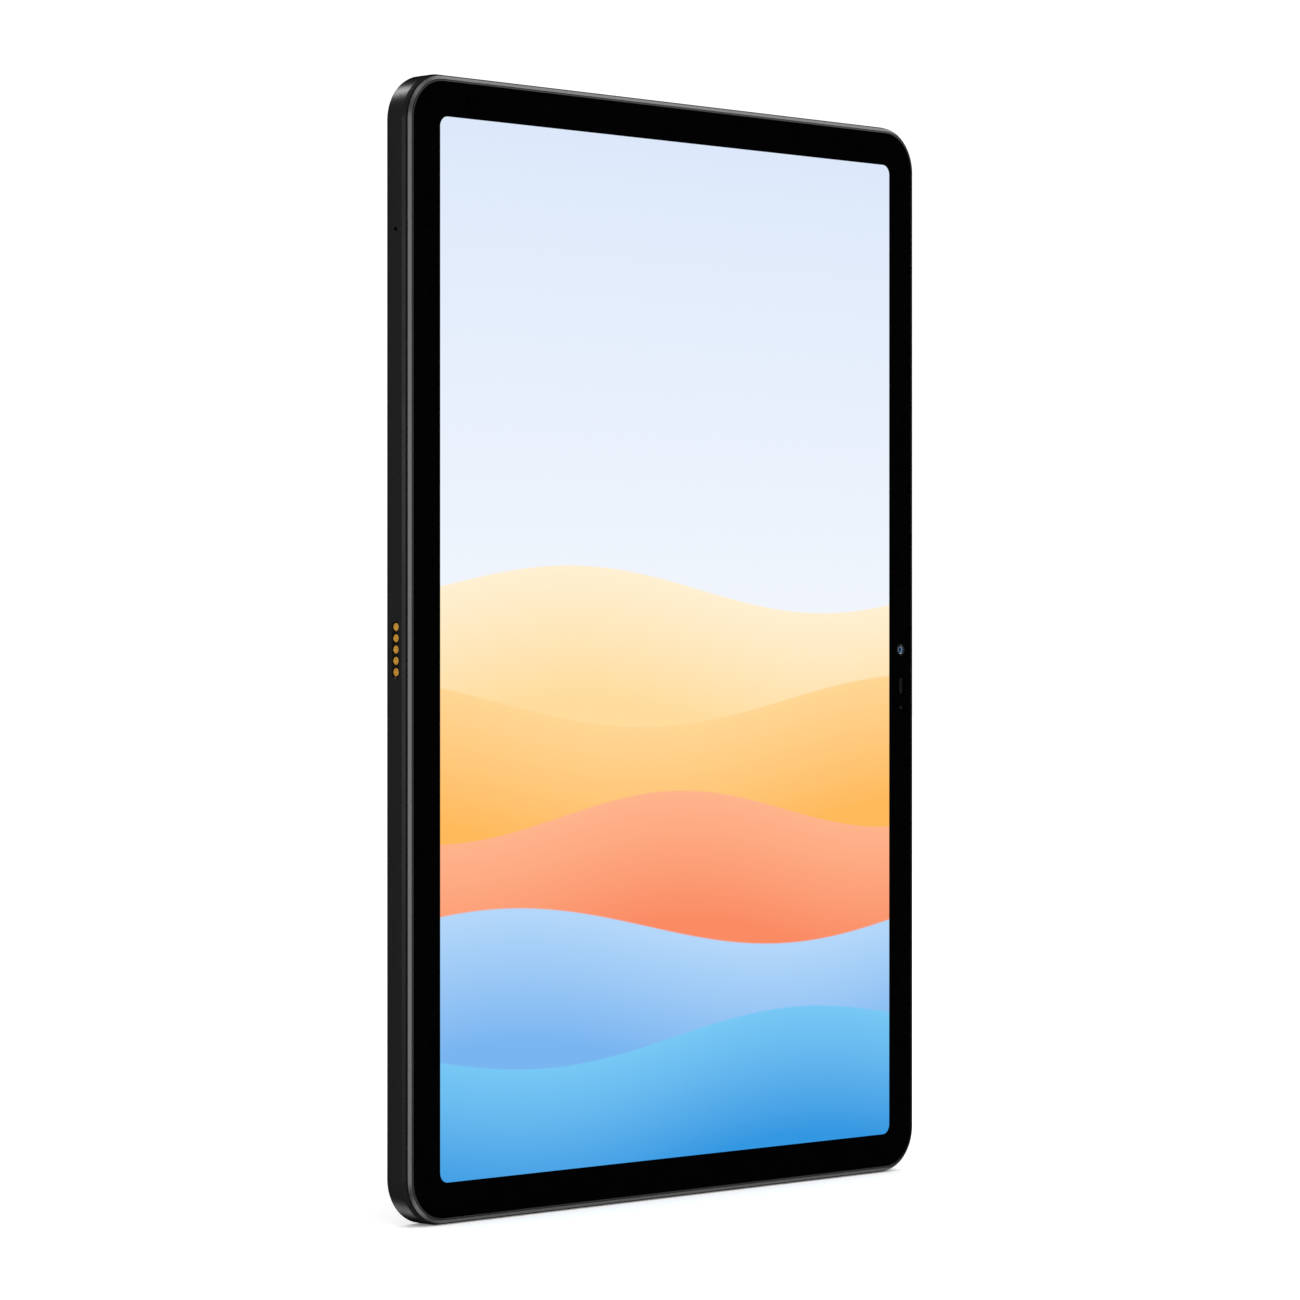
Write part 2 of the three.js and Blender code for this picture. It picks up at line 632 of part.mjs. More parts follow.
const FLANGE_GAP = 0.35;
const FLANGE_THICKNESS = 0.5;
const PLUNGER_LENGTH = 0.35;
const SWITCH_GAP = 0.3;
const FLANGE_OVERLAP = 1.6; // the flange is longer than the head and holds it in at its two ends
const FLANGE_WIDTH = 2.1;
const PLUNGER_OFFSET = 8; // from the rocker's pivot to each of its two plungers
const SWITCH = { length: 4, width: 2, rise: 1.2 };
const MERGE = 0.1; // how far joined shapes run into each other

function addPowerButton() {
  const flangeTop = INNER_TOP - FLANGE_GAP;
  const flangeEnd = flangeTop - FLANGE_THICKNESS;
  const plungerEnd = flangeEnd - PLUNGER_LENGTH;
  const head = acrossEnd(stadium(POWER_BUTTON_LENGTH, BUTTON_WIDTH), [
    flangeTop - MERGE,
    HEIGHT + POWER_BUTTON_PROUD,
  ]);
  const flangeOutline = stadium(POWER_BUTTON_LENGTH + FLANGE_OVERLAP, FLANGE_WIDTH);
  const flange = acrossEnd(flangeOutline, [flangeEnd, flangeTop]);
  const plunger = acrossEnd(stadium(3, 1.6), [plungerEnd, flangeTop - MERGE]);
  addPiece('power_button', join(head, flange, plunger), 'darkMetal', POWER_X);

  const switchTop = plungerEnd - SWITCH_GAP;
  const dome = acrossEnd(rectangle(SWITCH.length, SWITCH.width), [switchTop - SWITCH.rise, switchTop]);
  addPiece('power_switch', dome, 'steel', POWER_X);
}

function addVolumeRocker() {
  const flangeTop = INNER_X - FLANGE_GAP;
  const flangeEnd = flangeTop - FLANGE_THICKNESS;
  const plungerEnd = flangeEnd - PLUNGER_LENGTH;
  const headOutline = stadium(VOLUME_ROCKER_LENGTH, BUTTON_WIDTH);
  const head = acrossSide(headOutline, [flangeTop - MERGE, WIDTH / 2 + ROCKER_PROUD]);
  const flangeOutline = stadium(VOLUME_ROCKER_LENGTH + FLANGE_OVERLAP, FLANGE_WIDTH);
  const flange = acrossSide(flangeOutline, [flangeEnd, flangeTop]);
  const plungers = [-1, 1].map((side) => {
    const plunger = acrossSide(stadium(3, 1.6), [plungerEnd, flangeTop - MERGE]);
    return plunger.translate(0, side * PLUNGER_OFFSET, 0);
  });
  addPiece('volume_rocker', join(head, flange, ...plungers), 'darkMetal', 0, VOLUME_Y);

  const switchTop = plungerEnd - SWITCH_GAP;
  const dome = acrossSide(rectangle(SWITCH.length, SWITCH.width), [switchTop - SWITCH.rise, switchTop]);
  addPiece('volume_up_switch', dome, 'steel', 0, VOLUME_Y + PLUNGER_OFFSET);
  addPiece('volume_down_switch', dome, 'steel', 0, VOLUME_Y - PLUNGER_OFFSET);
}

// A flat cable from the power switch, round the corner and down to the volume switches.
function addKeyFlex() {
  const width = 2.8;
  const outerX = INNER_X - 3.6;
  const innerX = outerX - width;
  const outerY = INNER_TOP - 6.8;
  const innerY = outerY - width;
  const tailY = MAIN_BOARD.top - 10;
  const tailX = SHIELD_X + SHIELD_WIDTH / 2 - 6.5;
  const path = polygon([
    [POWER_X - 3, outerY + 1],
    [POWER_X - 3, innerY],
    [innerX, innerY],
    [innerX, tailY + width],
    [tailX, tailY + width],
    [tailX, tailY],
    [outerX, tailY],
    [outerX, outerY],
    [POWER_X + 3, outerY],
    [POWER_X + 3, outerY + 1],
  ]);
  addPiece('side_key_flex', layer(path, KEY_FLEX), 'flexOrange');
}

// ---- Card tray -------------------------------------------------------------------------------

function addCardTray() {
  const headFace = WIDTH / 2 - 0.03;
  const headBack = headFace - TRAY.headDepth;
  const plateEnd = headFace - TRAY.plateLength;
  const head = acrossSide(stadium(TRAY.headLength, TRAY.headHeight), [headBack, headFace]);
  const plateOutline = rectangle(TRAY.plateWidth, TRAY_PLATE_HEIGHT);
  const plate = acrossSide(plateOutline, [plateEnd, headBack + MERGE]);
  const cardHole = layer(rectangle(CARD.length, CARD.width), [PORT_DEPTH - 1, PORT_DEPTH + 1]);
  cardHole.translate(plateEnd + CARD.border + CARD.length / 2, 0, 0);
  const pinHole = roundAcrossSide(EJECT_RADIUS, [headBack - OVERSHOOT, headFace + OVERSHOOT], 8);
  pinHole.translate(0, EJECT_OFFSET, 0);
  addPiece('card_tray', cut(join(head, plate), [cardHole, pinHole]), 'darkMetal', 0, TRAY_Y);

  const socketHalfHeight = 1;
  const socketDepths = [PORT_DEPTH - socketHalfHeight, PORT_DEPTH + socketHalfHeight];
  const socketInner = plateEnd - 1.5;
  const socketOuter = INNER_X - SEAT_GAP;
  const socketLength = socketOuter - socketInner;
  const block = layer(rectangle(socketLength, TRAY.plateWidth + 4), socketDepths);
  block.translate(socketInner + socketLength / 2, 0, 0);
  const channelWidth = TRAY.plateWidth + 4 * RUNNING_GAP;
  const channelOutline = rectangle(channelWidth, TRAY_PLATE_HEIGHT + 3 * RUNNING_GAP);
  const channel = acrossSide(channelOutline, [plateEnd - 0.4, INNER_X + OVERSHOOT]);
  addPiece('card_socket', cut(block, [channel]), 'steel', 0, TRAY_Y);
}

// ---- Keyboard contacts -----------------------------------------------------------------------

const CONTACT_FACE = 0.1; // how far the contact block's face lies inside the wall's outer face
const CONTACT_STEPS = 12;

// A shallow dome on a short post, turned about the contact's own axis.
function contactShape() {
  const shoulder = 0.3;
  const domeRise = 0.25;
  const domeSteps = 3;
  const profile = [new THREE.Vector2(0, 0), new THREE.Vector2(CONTACT_RADIUS, 0)];
  for (let i = 0; i < domeSteps; i += 1) {
    const angle = (i / domeSteps) * (Math.PI / 2);
    const radius = CONTACT_RADIUS * Math.cos(angle);
    profile.push(new THREE.Vector2(radius, shoulder + domeRise * Math.sin(angle)));
  }
  profile.push(new THREE.Vector2(0, shoulder + domeRise));
  return new THREE.LatheGeometry(profile, CONTACT_STEPS).rotateZ(Math.PI / 2);
}

function addContacts() {
  const blockFace = -WIDTH / 2 + CONTACT_FACE;
  const blockEnd = -INNER_X + 0.8;
  const boreDepth = 0.7;
  const boreEnds = [blockFace - OVERSHOOT, blockFace + boreDepth];
  const places = [];
  for (let i = 0; i < CONTACT_COUNT; i += 1) {
    places.push(((CONTACT_COUNT - 1) / 2 - i) * CONTACT_PITCH);
  }
  const bores = places.map((place) => {
    return roundAcrossSide(CONTACT_RADIUS + MERGE, boreEnds, CONTACT_STEPS).translate(0, place, 0);
  });
  const outline = stadium(CONTACT_BLOCK.length, CONTACT_BLOCK.height);
  const block = acrossSide(outline, [blockFace, blockEnd]);
  addPiece('contact_block', cut(block, bores), 'blackPlastic', 0, MIDDLE);

  const contactX = blockFace + boreDepth - MERGE;
  places.forEach((place, i) => {
    addPiece(`contact_${i + 1}`, contactShape(), 'gold', contactX, MIDDLE + place, height(PORT_DEPTH));
  });

  const flexWidth = 6;
  const flexDrop = 22;
  const flexStart = blockEnd + 0.3;
  const flexEnd = MAIN_BOARD.left + 3;
  const flex = layer(rectangle(flexEnd - flexStart, flexWidth), CONTACT_FLEX);
  addPiece('contact_flex', flex, 'flexOrange', (flexStart + flexEnd) / 2, MIDDLE - flexDrop);
}

// ---- Microphone, magnets and antenna ---------------------------------------------------------

function addSidePieces() {
  const against = -INNER_X + SEAT_GAP;
  const microphoneWidth = 1.6;
  const microphone = layer(rectangle(microphoneWidth, 4), SIDE_PIECE);
  const microphoneX = against + microphoneWidth / 2;
  addPiece('microphone', microphone, 'steel', microphoneX, HEIGHT - MICROPHONE_DROP);

  const magnetWidth = 2.4;
  const magnetLength = 40;
  const magnetOffset = 48;
  const magnetX = against + magnetWidth / 2;
  const magnet = layer(rectangle(magnetWidth, magnetLength), CELL);
  addPiece('keyboard_magnet_upper', magnet, 'magnet', magnetX, MIDDLE + magnetOffset);
  addPiece('keyboard_magnet_lower', magnet, 'magnet', magnetX, MIDDLE - magnetOffset);

  const antennaLength = 44;
  const antennaWidth = 4;
  const antennaX = -2;
  const antenna = layer(roundedRectangle(antennaLength, antennaWidth, 1), SIDE_PIECE, 3);
  addPiece('antenna', antenna, 'blackPlastic', antennaX, INNER_TOP - antennaWidth / 2 - 1);
}

addScreen();
addDisplayFlex();
addHousing();
addBattery();
addMainBoard();
addPort();
addLinkFlex();
addSpeakers();
addRearCamera();
addFrontCamera();
addPowerButton();
addVolumeRocker();
addKeyFlex();
addCardTray();
addContacts();
addSidePieces();

tablet.rotation.x = Math.PI / 2;

const group = new THREE.Group();
group.add(tablet);

export default group;
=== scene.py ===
"""A tablet computer: the finished surface of every piece, the camera, the light and the floor."""

import json
import math

import bmesh
import bpy
from mathutils import Matrix, Vector


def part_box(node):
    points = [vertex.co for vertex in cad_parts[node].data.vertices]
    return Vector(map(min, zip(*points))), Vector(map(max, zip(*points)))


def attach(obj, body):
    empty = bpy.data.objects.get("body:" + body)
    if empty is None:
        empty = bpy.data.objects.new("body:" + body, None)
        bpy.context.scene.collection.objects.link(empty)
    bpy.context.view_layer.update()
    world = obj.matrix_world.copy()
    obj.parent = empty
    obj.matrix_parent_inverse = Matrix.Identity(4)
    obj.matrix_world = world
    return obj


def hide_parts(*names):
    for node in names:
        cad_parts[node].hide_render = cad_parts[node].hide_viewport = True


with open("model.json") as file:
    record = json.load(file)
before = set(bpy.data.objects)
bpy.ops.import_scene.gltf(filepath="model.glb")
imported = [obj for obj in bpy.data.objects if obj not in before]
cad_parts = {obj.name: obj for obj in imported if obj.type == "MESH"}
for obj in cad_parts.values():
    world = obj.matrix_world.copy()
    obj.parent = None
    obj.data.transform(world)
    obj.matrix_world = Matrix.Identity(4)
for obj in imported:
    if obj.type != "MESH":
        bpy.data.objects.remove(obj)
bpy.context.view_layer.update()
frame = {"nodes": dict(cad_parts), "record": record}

# ---- Sizes, in metres, from the frame ------------------------------------------------------------

MM = 0.001
FRAME_LOW, FRAME_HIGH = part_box("mid_frame")
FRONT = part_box("cover_glass")[0].y
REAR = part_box("rear_cover")[1].y
HALF_WIDTH = FRAME_HIGH.x
TOP = FRAME_HIGH.z
MIDDLE = TOP / 2
CORNER_RADIUS = 10.7 * MM
CORNER_STEPS = 28
PORT_LINE = sum(corner.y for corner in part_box("usb_c_shell")) / 2
DISPLAY_BORDER = 1.95 * MM
DISPLAY_HALF_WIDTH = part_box("lcd_panel")[1].x - DISPLAY_BORDER
DISPLAY_HALF_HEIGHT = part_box("lcd_panel")[1].z - MIDDLE - DISPLAY_BORDER
DISPLAY_CORNER = 2.3 * MM
BODY = "tablet_body"

# The way out of the tablet through each face.
LEFT = (-1, 0, 0)
RIGHT = (1, 0, 0)
FORWARD = (0, -1, 0)
BACKWARD = (0, 1, 0)
UP = (0, 0, 1)


def centre_of(node):
    low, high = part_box(node)
    return (low + high) / 2


def size_of(node):
    low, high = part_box(node)
    return high - low


# ---- Materials -----------------------------------------------------------------------------------


class Paint:
    """One material, with short calls that add and link its nodes."""

    def __init__(self, name):
        self.material = bpy.data.materials.new(name)
        self.material.use_nodes = True
        self.nodes = self.material.node_tree.nodes
        self.links = self.material.node_tree.links
        self.shader = self.nodes["Principled BSDF"]
        self.place = self.add("ShaderNodeTexCoord").outputs["Object"]

    def add(self, kind, **settings):
        node = self.nodes.new(kind)
        for key, value in settings.items():
            setattr(node, key, value)
        return node

    def feed(self, socket, value):
        if isinstance(value, bpy.types.NodeSocket):
            self.links.new(value, socket)
        else:
            socket.default_value = value

    def set(self, **values):
        """Sets or links the shader's own sockets, named with underscores for spaces."""
        for key, value in values.items():
            self.feed(self.shader.inputs[key.replace("_", " ")], value)
        return self

    def math(self, operation, *values, clamp=False):
        node = self.add("ShaderNodeMath", operation=operation, use_clamp=clamp)
        for socket, value in zip(node.inputs, values):
            self.feed(socket, value)
        return node.outputs[0]

    def noise(self, scale, detail=3.0, roughness=0.5, stretch=(1, 1, 1)):
        mapping = self.add("ShaderNodeMapping")
        mapping.inputs["Scale"].default_value = stretch
        self.feed(mapping.inputs["Vector"], self.place)
        node = self.add("ShaderNodeTexNoise")
        self.feed(node.inputs["Vector"], mapping.outputs[0])
        node.inputs["Scale"].default_value = scale
        node.inputs["Detail"].default_value = detail
        node.inputs["Roughness"].default_value = roughness
        return node.outputs["Fac"]

    def cells(self, scale, **settings):
        node = self.add("ShaderNodeTexVoronoi", **settings)
        self.feed(node.inputs["Vector"], self.place)
        node.inputs["Scale"].default_value = scale
        return node.outputs["Distance"]

    def ramp(self, factor, *stops):
        """A colour or grey that follows factor; each stop is (position, grey or colour)."""
        node = self.add("ShaderNodeValToRGB")
        elements = node.color_ramp.elements
        while len(elements) < len(stops):
            elements.new(0.5)
        for element, (position, colour) in zip(elements, stops):
            element.position = position
            element.color = (*colour, 1) if isinstance(colour, tuple) else (colour,) * 3 + (1,)
        self.feed(node.inputs[0], factor)
        return node.outputs[0]

    def mix(self, factor, first, second):
        node = self.add("ShaderNodeMix", data_type="RGBA")
        self.feed(node.inputs["Factor"], factor)
        for socket, value in ((node.inputs[6], first), (node.inputs[7], second)):
            self.feed(socket, (*value, 1) if isinstance(value, tuple) else value)
        return node.outputs[2]

    def bump(self, height, strength, distance):
        node = self.add("ShaderNodeBump")
        self.feed(node.inputs["Height"], height)
        node.inputs["Strength"].default_value = strength
        node.inputs["Distance"].default_value = distance
        return node.outputs[0]


def tone(code):
    """A linear colour from a six-digit hexadecimal one."""
    channels = [int(code[i:i + 2], 16) / 255 for i in (0, 2, 4)]
    return tuple(c / 12.92 if c <= 0.04045 else ((c + 0.055) / 1.055) ** 2.4 for c in channels)


def metal_finish(name, dark, light, roughness, metallic=0.3):
    """Blasted and anodised metal: a fine even grain with a faint cloudiness."""
    paint = Paint(name)
    cloud = paint.noise(90.0, detail=4.0)
    grain = paint.noise(9000.0, detail=2.0)
    paint.set(
        Base_Color=paint.ramp(paint.noise(2500.0), (0.3, dark), (0.7, light)),
        Roughness=paint.ramp(cloud, (0.3, roughness - 0.04), (0.7, roughness + 0.04)),
        Metallic=metallic,
        Normal=paint.bump(grain, 0.12, 0.00002),
    )
    return paint.material


def cut_metal():
    """A chamfer cut bright after the blasting, with fine tool lines along it."""
    paint = Paint("cut_metal")
    lines = paint.noise(700.0, detail=4.0, stretch=(1, 9, 1))
    paint.set(
        Base_Color=paint.ramp(lines, (0.3, 0.17), (0.7, 0.22)),
        Roughness=paint.ramp(lines, (0.3, 0.26), (0.7, 0.34)),
        Metallic=0.9,
        Normal=paint.bump(lines, 0.08, 0.00001),
    )
    return paint.material


def black_glass():
    """Glass printed black behind, with an anti-reflection coat and the faintest smears."""
    paint = Paint("black_glass")
    smear = paint.noise(35.0, detail=5.0, stretch=(1, 1, 0.35))
    paint.set(
        Base_Color=paint.ramp(paint.noise(400.0), (0.3, 0.0004), (0.7, 0.0008)),
        Roughness=paint.ramp(smear, (0.4, 0.035), (0.75, 0.075)),
        Specular_IOR_Level=0.28,
    )
    return paint.material


def ground_glass():
    """The ground and rounded edge of the cover glass, which scatters a little light."""
    paint = Paint("ground_glass")
    grinding = paint.noise(3000.0, detail=3.0)
    paint.set(
        Base_Color=paint.ramp(grinding, (0.3, 0.016), (0.7, 0.024)),
        Roughness=paint.ramp(grinding, (0.3, 0.25), (0.7, 0.4)),
        Normal=paint.bump(grinding, 0.1, 0.00001),
    )
    return paint.material


def moulded_plastic(name, dark, light, roughness=0.5):
    paint = Paint(name)
    grain = paint.noise(6000.0, detail=3.0)
    paint.set(
        Base_Color=paint.ramp(paint.noise(1200.0), (0.3, dark), (0.7, light)),
        Roughness=paint.ramp(grain, (0.3, roughness - 0.06), (0.7, roughness + 0.06)),
        Normal=paint.bump(grain, 0.2, 0.00002),
    )
    return paint.material


def gold_plate():
    """Thin gold plate with rubbed patches and a fine turned grain."""
    paint = Paint("gold_plate")
    wear = paint.noise(2200.0, detail=4.0)
    paint.set(
        Base_Color=paint.ramp(wear, (0.3, tone("b07c24")), (0.7, tone("d8a03a"))),
        Roughness=paint.ramp(wear, (0.3, 0.26), (0.7, 0.38)),
        Metallic=0.25,
        Normal=paint.bump(wear, 0.1, 0.00001),
    )
    return paint.material


def bright_steel(name, stretch, dark=0.42, light=0.58, roughness=0.24, metallic=0.85):
    """Rolled or drawn steel with a fine directional grain."""
    paint = Paint(name)
    lines = paint.noise(1500.0, detail=5.0, stretch=stretch)
    paint.set(
        Base_Color=paint.ramp(lines, (0.3, dark), (0.7, light)),
        Roughness=paint.ramp(lines, (0.3, roughness), (0.7, roughness + 0.14)),
        Metallic=metallic,
        Normal=paint.bump(lines, 0.15, 0.00001),
    )
    return paint.material


def circuit_board():
    """Green solder mask over copper: a fine maze of tracks with bare pads."""
    paint = Paint("circuit_board")
    tracks = paint.cells(700.0, feature="DISTANCE_TO_EDGE")
    pads = paint.cells(420.0, distance="CHEBYCHEV")
    mask = paint.ramp(tracks, (0.02, tone("277a4a")), (0.1, tone("14482c")))
    paint.set(
        Base_Color=paint.mix(paint.ramp(pads, (0.1, 1.0), (0.14, 0.0)), mask, tone("d9b06a")),
        Metallic=paint.ramp(pads, (0.1, 0.9), (0.14, 0.0)),
        Roughness=paint.ramp(paint.noise(900.0), (0.3, 0.32), (0.7, 0.46)),
        Normal=paint.bump(tracks, 0.25, 0.00003),
    )
    return paint.material


def battery_foil():
    """Dark laminated pouch foil with soft wrinkles."""
    paint = Paint("battery_foil")
    wrinkle = paint.noise(60.0, detail=6.0, stretch=(1, 1, 0.4))
    paint.set(
        Base_Color=paint.ramp(wrinkle, (0.3, tone("282930")), (0.7, tone("3b3c42"))),
        Roughness=paint.ramp(paint.noise(500.0), (0.3, 0.38), (0.7, 0.55)),
        Metallic=0.35,
        Normal=paint.bump(wrinkle, 0.35, 0.0002),
    )
    return paint.material


def flex_film():
    """Amber polyimide film with copper lines running in it."""
    paint = Paint("flex_film")
    lines = paint.add("ShaderNodeTexWave", wave_type="BANDS", bands_direction="DIAGONAL")
    paint.feed(lines.inputs["Vector"], paint.place)
    lines.inputs["Scale"].default_value = 260.0
    paint.set(
        Base_Color=paint.ramp(lines.outputs["Fac"], (0.4, tone("95591f")), (0.6, tone("cf8d4b"))),
        Roughness=paint.ramp(paint.noise(800.0), (0.3, 0.25), (0.7, 0.4)),
        Metallic=paint.ramp(lines.outputs["Fac"], (0.45, 0.0), (0.6, 0.35)),
        Normal=paint.bump(lines.outputs["Fac"], 0.2, 0.00002),
    )
    return paint.material


def copper_sheet():
    """Rolled copper with patches of tarnish."""
    paint = Paint("copper_sheet")
    lines = paint.noise(900.0, detail=5.0, stretch=(12, 1, 1))
    tarnish = paint.noise(70.0, detail=5.0)
    paint.set(
        Base_Color=paint.ramp(tarnish, (0.3, tone("aa7350")), (0.7, tone("ce9874"))),
        Roughness=paint.ramp(lines, (0.3, 0.28), (0.7, 0.44)),
        Metallic=1.0,
        Normal=paint.bump(lines, 0.15, 0.00001),
    )
    return paint.material


def foam_tape():
    paint = Paint("foam_tape")
    pores = paint.cells(6000.0)
    paint.set(
        Base_Color=paint.ramp(pores, (0.1, 0.012), (0.6, 0.03)),
        Roughness=paint.ramp(paint.noise(3000.0), (0.3, 0.8), (0.7, 0.95)),
        Normal=paint.bump(pores, 0.4, 0.00003),
    )
    return paint.material


def diffuser_film():
    """Pale films and windows that spread light, with a very fine dot pattern."""
    paint = Paint("diffuser_film")
    dots = paint.cells(3000.0)
    paint.set(
        Base_Color=paint.ramp(dots, (0.2, tone("f4f2ea")), (0.6, tone("dedcd2"))),
        Roughness=paint.ramp(paint.noise(300.0), (0.3, 0.3), (0.7, 0.45)),
        Normal=paint.bump(dots, 0.1, 0.00001),
    )
    return paint.material


def coated_glass(name, dark, light, roughness=0.03, specular=1.0):
    """Lens glass seen against black, with the uneven tint of its coating."""
    paint = Paint(name)
    coating = paint.noise(450.0, detail=2.0)
    paint.set(
        Base_Color=paint.ramp(coating, (0.35, tone(dark)), (0.65, tone(light))),
        Roughness=paint.ramp(paint.noise(600.0), (0.3, roughness), (0.7, roughness + 0.02)),
        Specular_IOR_Level=specular,
        Coat_Weight=1.0,
        Coat_Roughness=0.02,
    )
    return paint.material


def clear_window():
    """Clear scratch-resistant glass with the faintest wipe marks."""
    paint = Paint("clear_window")
    wipes = paint.noise(220.0, detail=4.0)
    paint.set(
        Base_Color=paint.ramp(wipes, (0.3, tone("f2f6fa")), (0.7, tone("ffffff"))),
        Roughness=paint.ramp(wipes, (0.3, 0.01), (0.7, 0.03)),
        Transmission_Weight=1.0,
        IOR=1.5,
    )
    return paint.material


# ---- The picture on the display ------------------------------------------------------------------

# One row per wave: mean height, swing, turns across, starting turn, crest tone, deep tone.
# Heights and swings are shares of the display's height.
WAVES = (
    (0.56, 0.022, 0.9, 0.00, "fff0d2", "ffdc9c"),
    (0.45, 0.025, 0.8, 0.40, "ffd694", "ffb95a"),
    (0.34, 0.022, 1.0, 0.75, "ffb48c", "fa8a62"),
    (0.23, 0.025, 0.8, 0.15, "b4d8fa", "78b4f0"),
    (0.12, 0.020, 0.9, 0.55, "78c8f5", "3296e1"),
)
WAVE_DEPTH = 0.13
WAVE_SOFTNESS = 0.002


class Canvas(Paint):
    """A material that layers colours; x and y are shares of the display's width and height."""

    def __init__(self, name):
        super().__init__(name)
        split = self.add("ShaderNodeSeparateXYZ")
        self.feed(split.inputs[0], self.place)
        low_x = self.math("ADD", split.outputs["X"], DISPLAY_HALF_WIDTH)
        low_y = self.math("SUBTRACT", split.outputs["Z"], MIDDLE - DISPLAY_HALF_HEIGHT)
        self.x = self.math("DIVIDE", low_x, 2 * DISPLAY_HALF_WIDTH)
        self.y = self.math("DIVIDE", low_y, 2 * DISPLAY_HALF_HEIGHT)
        self.colour = None

    def step(self, value, start, end):
        """A soft step: 0 at start and 1 at end."""
        node = self.add("ShaderNodeMapRange", interpolation_type="SMOOTHSTEP")
        self.feed(node.inputs["Value"], value)
        node.inputs["From Min"].default_value = start
        node.inputs["From Max"].default_value = end
        return node.outputs["Result"]

    def tones(self, factor, *stops):
        return self.ramp(factor, *((position, tone(code)) for position, code in stops))

    def lay(self, colour, mask):
        self.colour = self.mix(mask, self.colour, colour)


def display_picture():
    """A plain wallpaper: a pale sky over rolling waves, each deeper in colour further down."""
    art = Canvas("display_picture")
    art.colour = art.tones(art.y, (0.5, "f2f6fd"), (1.0, "dce8fa"))
    for height, swing, turns, start, crest, deep in WAVES:
        angle = art.math("MULTIPLY_ADD", art.x, math.tau * turns, math.tau * start)
        edge = art.math("MULTIPLY_ADD", art.math("SINE", angle), swing, height)
        below = art.math("SUBTRACT", edge, art.y)
        shade = art.math("DIVIDE", below, WAVE_DEPTH)
        art.lay(art.tones(shade, (0.0, crest), (1.0, deep)), art.step(below, 0.0, WAVE_SOFTNESS))
    return art


def lit_display():
    art = display_picture()
    art.set(
        Base_Color=(0.002, 0.002, 0.002, 1),
        Roughness=0.06,
        Specular_IOR_Level=0.28,
        Emission_Color=art.colour,
        Emission_Strength=1.0,
    )
    return art.material


# ---- Mesh helpers --------------------------------------------------------------------------------

SHARP_ANGLE = math.radians(14)


def rounded_outline(half_u, half_v, radius, steps=CORNER_STEPS):
    """Points of a rounded rectangle, anticlockwise, with the same count for every size."""
    points = []
    for quarter, (su, sv) in enumerate(((1, 1), (-1, 1), (-1, -1), (1, -1))):
        for i in range(steps + 1):
            angle = (quarter + i / steps) * math.pi / 2
            u = su * (half_u - radius) + radius * math.cos(angle)
            v = sv * (half_v - radius) + radius * math.sin(angle)
            points.append((u, v))
    return points


def stadium(half_length, half_width):
    """An outline with round ends, long in u."""
    return rounded_outline(half_length, half_width, half_width * 0.9999, 10)


def body_outline(inset):
    return rounded_outline(HALF_WIDTH - inset, MIDDLE - inset, CORNER_RADIUS - inset)


def display_outline(inset=0.0):
    return rounded_outline(DISPLAY_HALF_WIDTH - inset, DISPLAY_HALF_HEIGHT - inset, DISPLAY_CORNER - inset)


def upright(points):
    """The same outline turned a quarter, so that it is long in v."""
    return [(-v, u) for u, v in points]


def on_front(points, y, x=0.0, z=MIDDLE):
    """Outline points in a plane that faces the screen's way: u across, v up."""
    return [Vector((x + u, y, z + v)) for u, v in points]


def on_side(points, x, z, y=PORT_LINE):
    """Outline points in a plane that faces sideways: u up, v to the rear."""
    return [Vector((x, y + v, z + u)) for u, v in points]


def on_end(points, z, x, y=PORT_LINE):
    """Outline points in a plane that faces up or down: u across, v to the rear."""
    return [Vector((x + u, y + v, z)) for u, v in points]


def new_mesh(name, mesh):
    """Turns a bmesh into mesh data, with its faces pointing out."""
    bmesh.ops.recalc_face_normals(mesh, faces=mesh.faces)
    data = bpy.data.meshes.new(name)
    mesh.to_mesh(data)
    mesh.free()
    return data


def skin(name, loops, bands=None):
    """A closed mesh over loops of points; bands gives each strip between loops its material index."""
    mesh = bmesh.new()
    rings = [[mesh.verts.new(point) for point in loop] for loop in loops]
    count = len(rings[0])
    for index, (first, second) in enumerate(zip(rings, rings[1:])):
        for i in range(count):
            j = (i + 1) % count
            face = mesh.faces.new((first[i], second[i], second[j], first[j]))
            face.material_index = bands[index] if bands else 0
    mesh.faces.new(rings[0])
    mesh.faces.new(reversed(rings[-1]))
    return new_mesh(name, mesh)


def lathe(name, profile, centre, axis, steps=48, bands=None):
    """Turns points given as (radius, place along the axis), both in millimetres, about the axis."""
    turn = Vector(UP).rotation_difference(Vector(axis)).to_matrix().to_4x4()
    place = Matrix.Translation(centre) @ turn
    mesh = bmesh.new()
    rings = []
    for radius, along in profile:
        if radius == 0:
            rings.append([mesh.verts.new(place @ Vector((0, 0, along * MM)))] * steps)
            continue
        angles = [2 * math.pi * i / steps for i in range(steps)]
        points = [Vector((radius * math.cos(a), radius * math.sin(a), along)) * MM for a in angles]
        rings.append([mesh.verts.new(place @ point) for point in points])
    closed = profile[0][0] != 0
    pairs = list(zip(rings, rings[1:] + (rings[:1] if closed else [])))
    for index, (first, second) in enumerate(pairs):
        for i in range(steps):
            j = (i + 1) % steps
            corners = list(dict.fromkeys((first[i], first[j], second[j], second[i])))
            face = mesh.faces.new(corners)
            face.material_index = bands[index] if bands else 0
    return new_mesh(name, mesh)


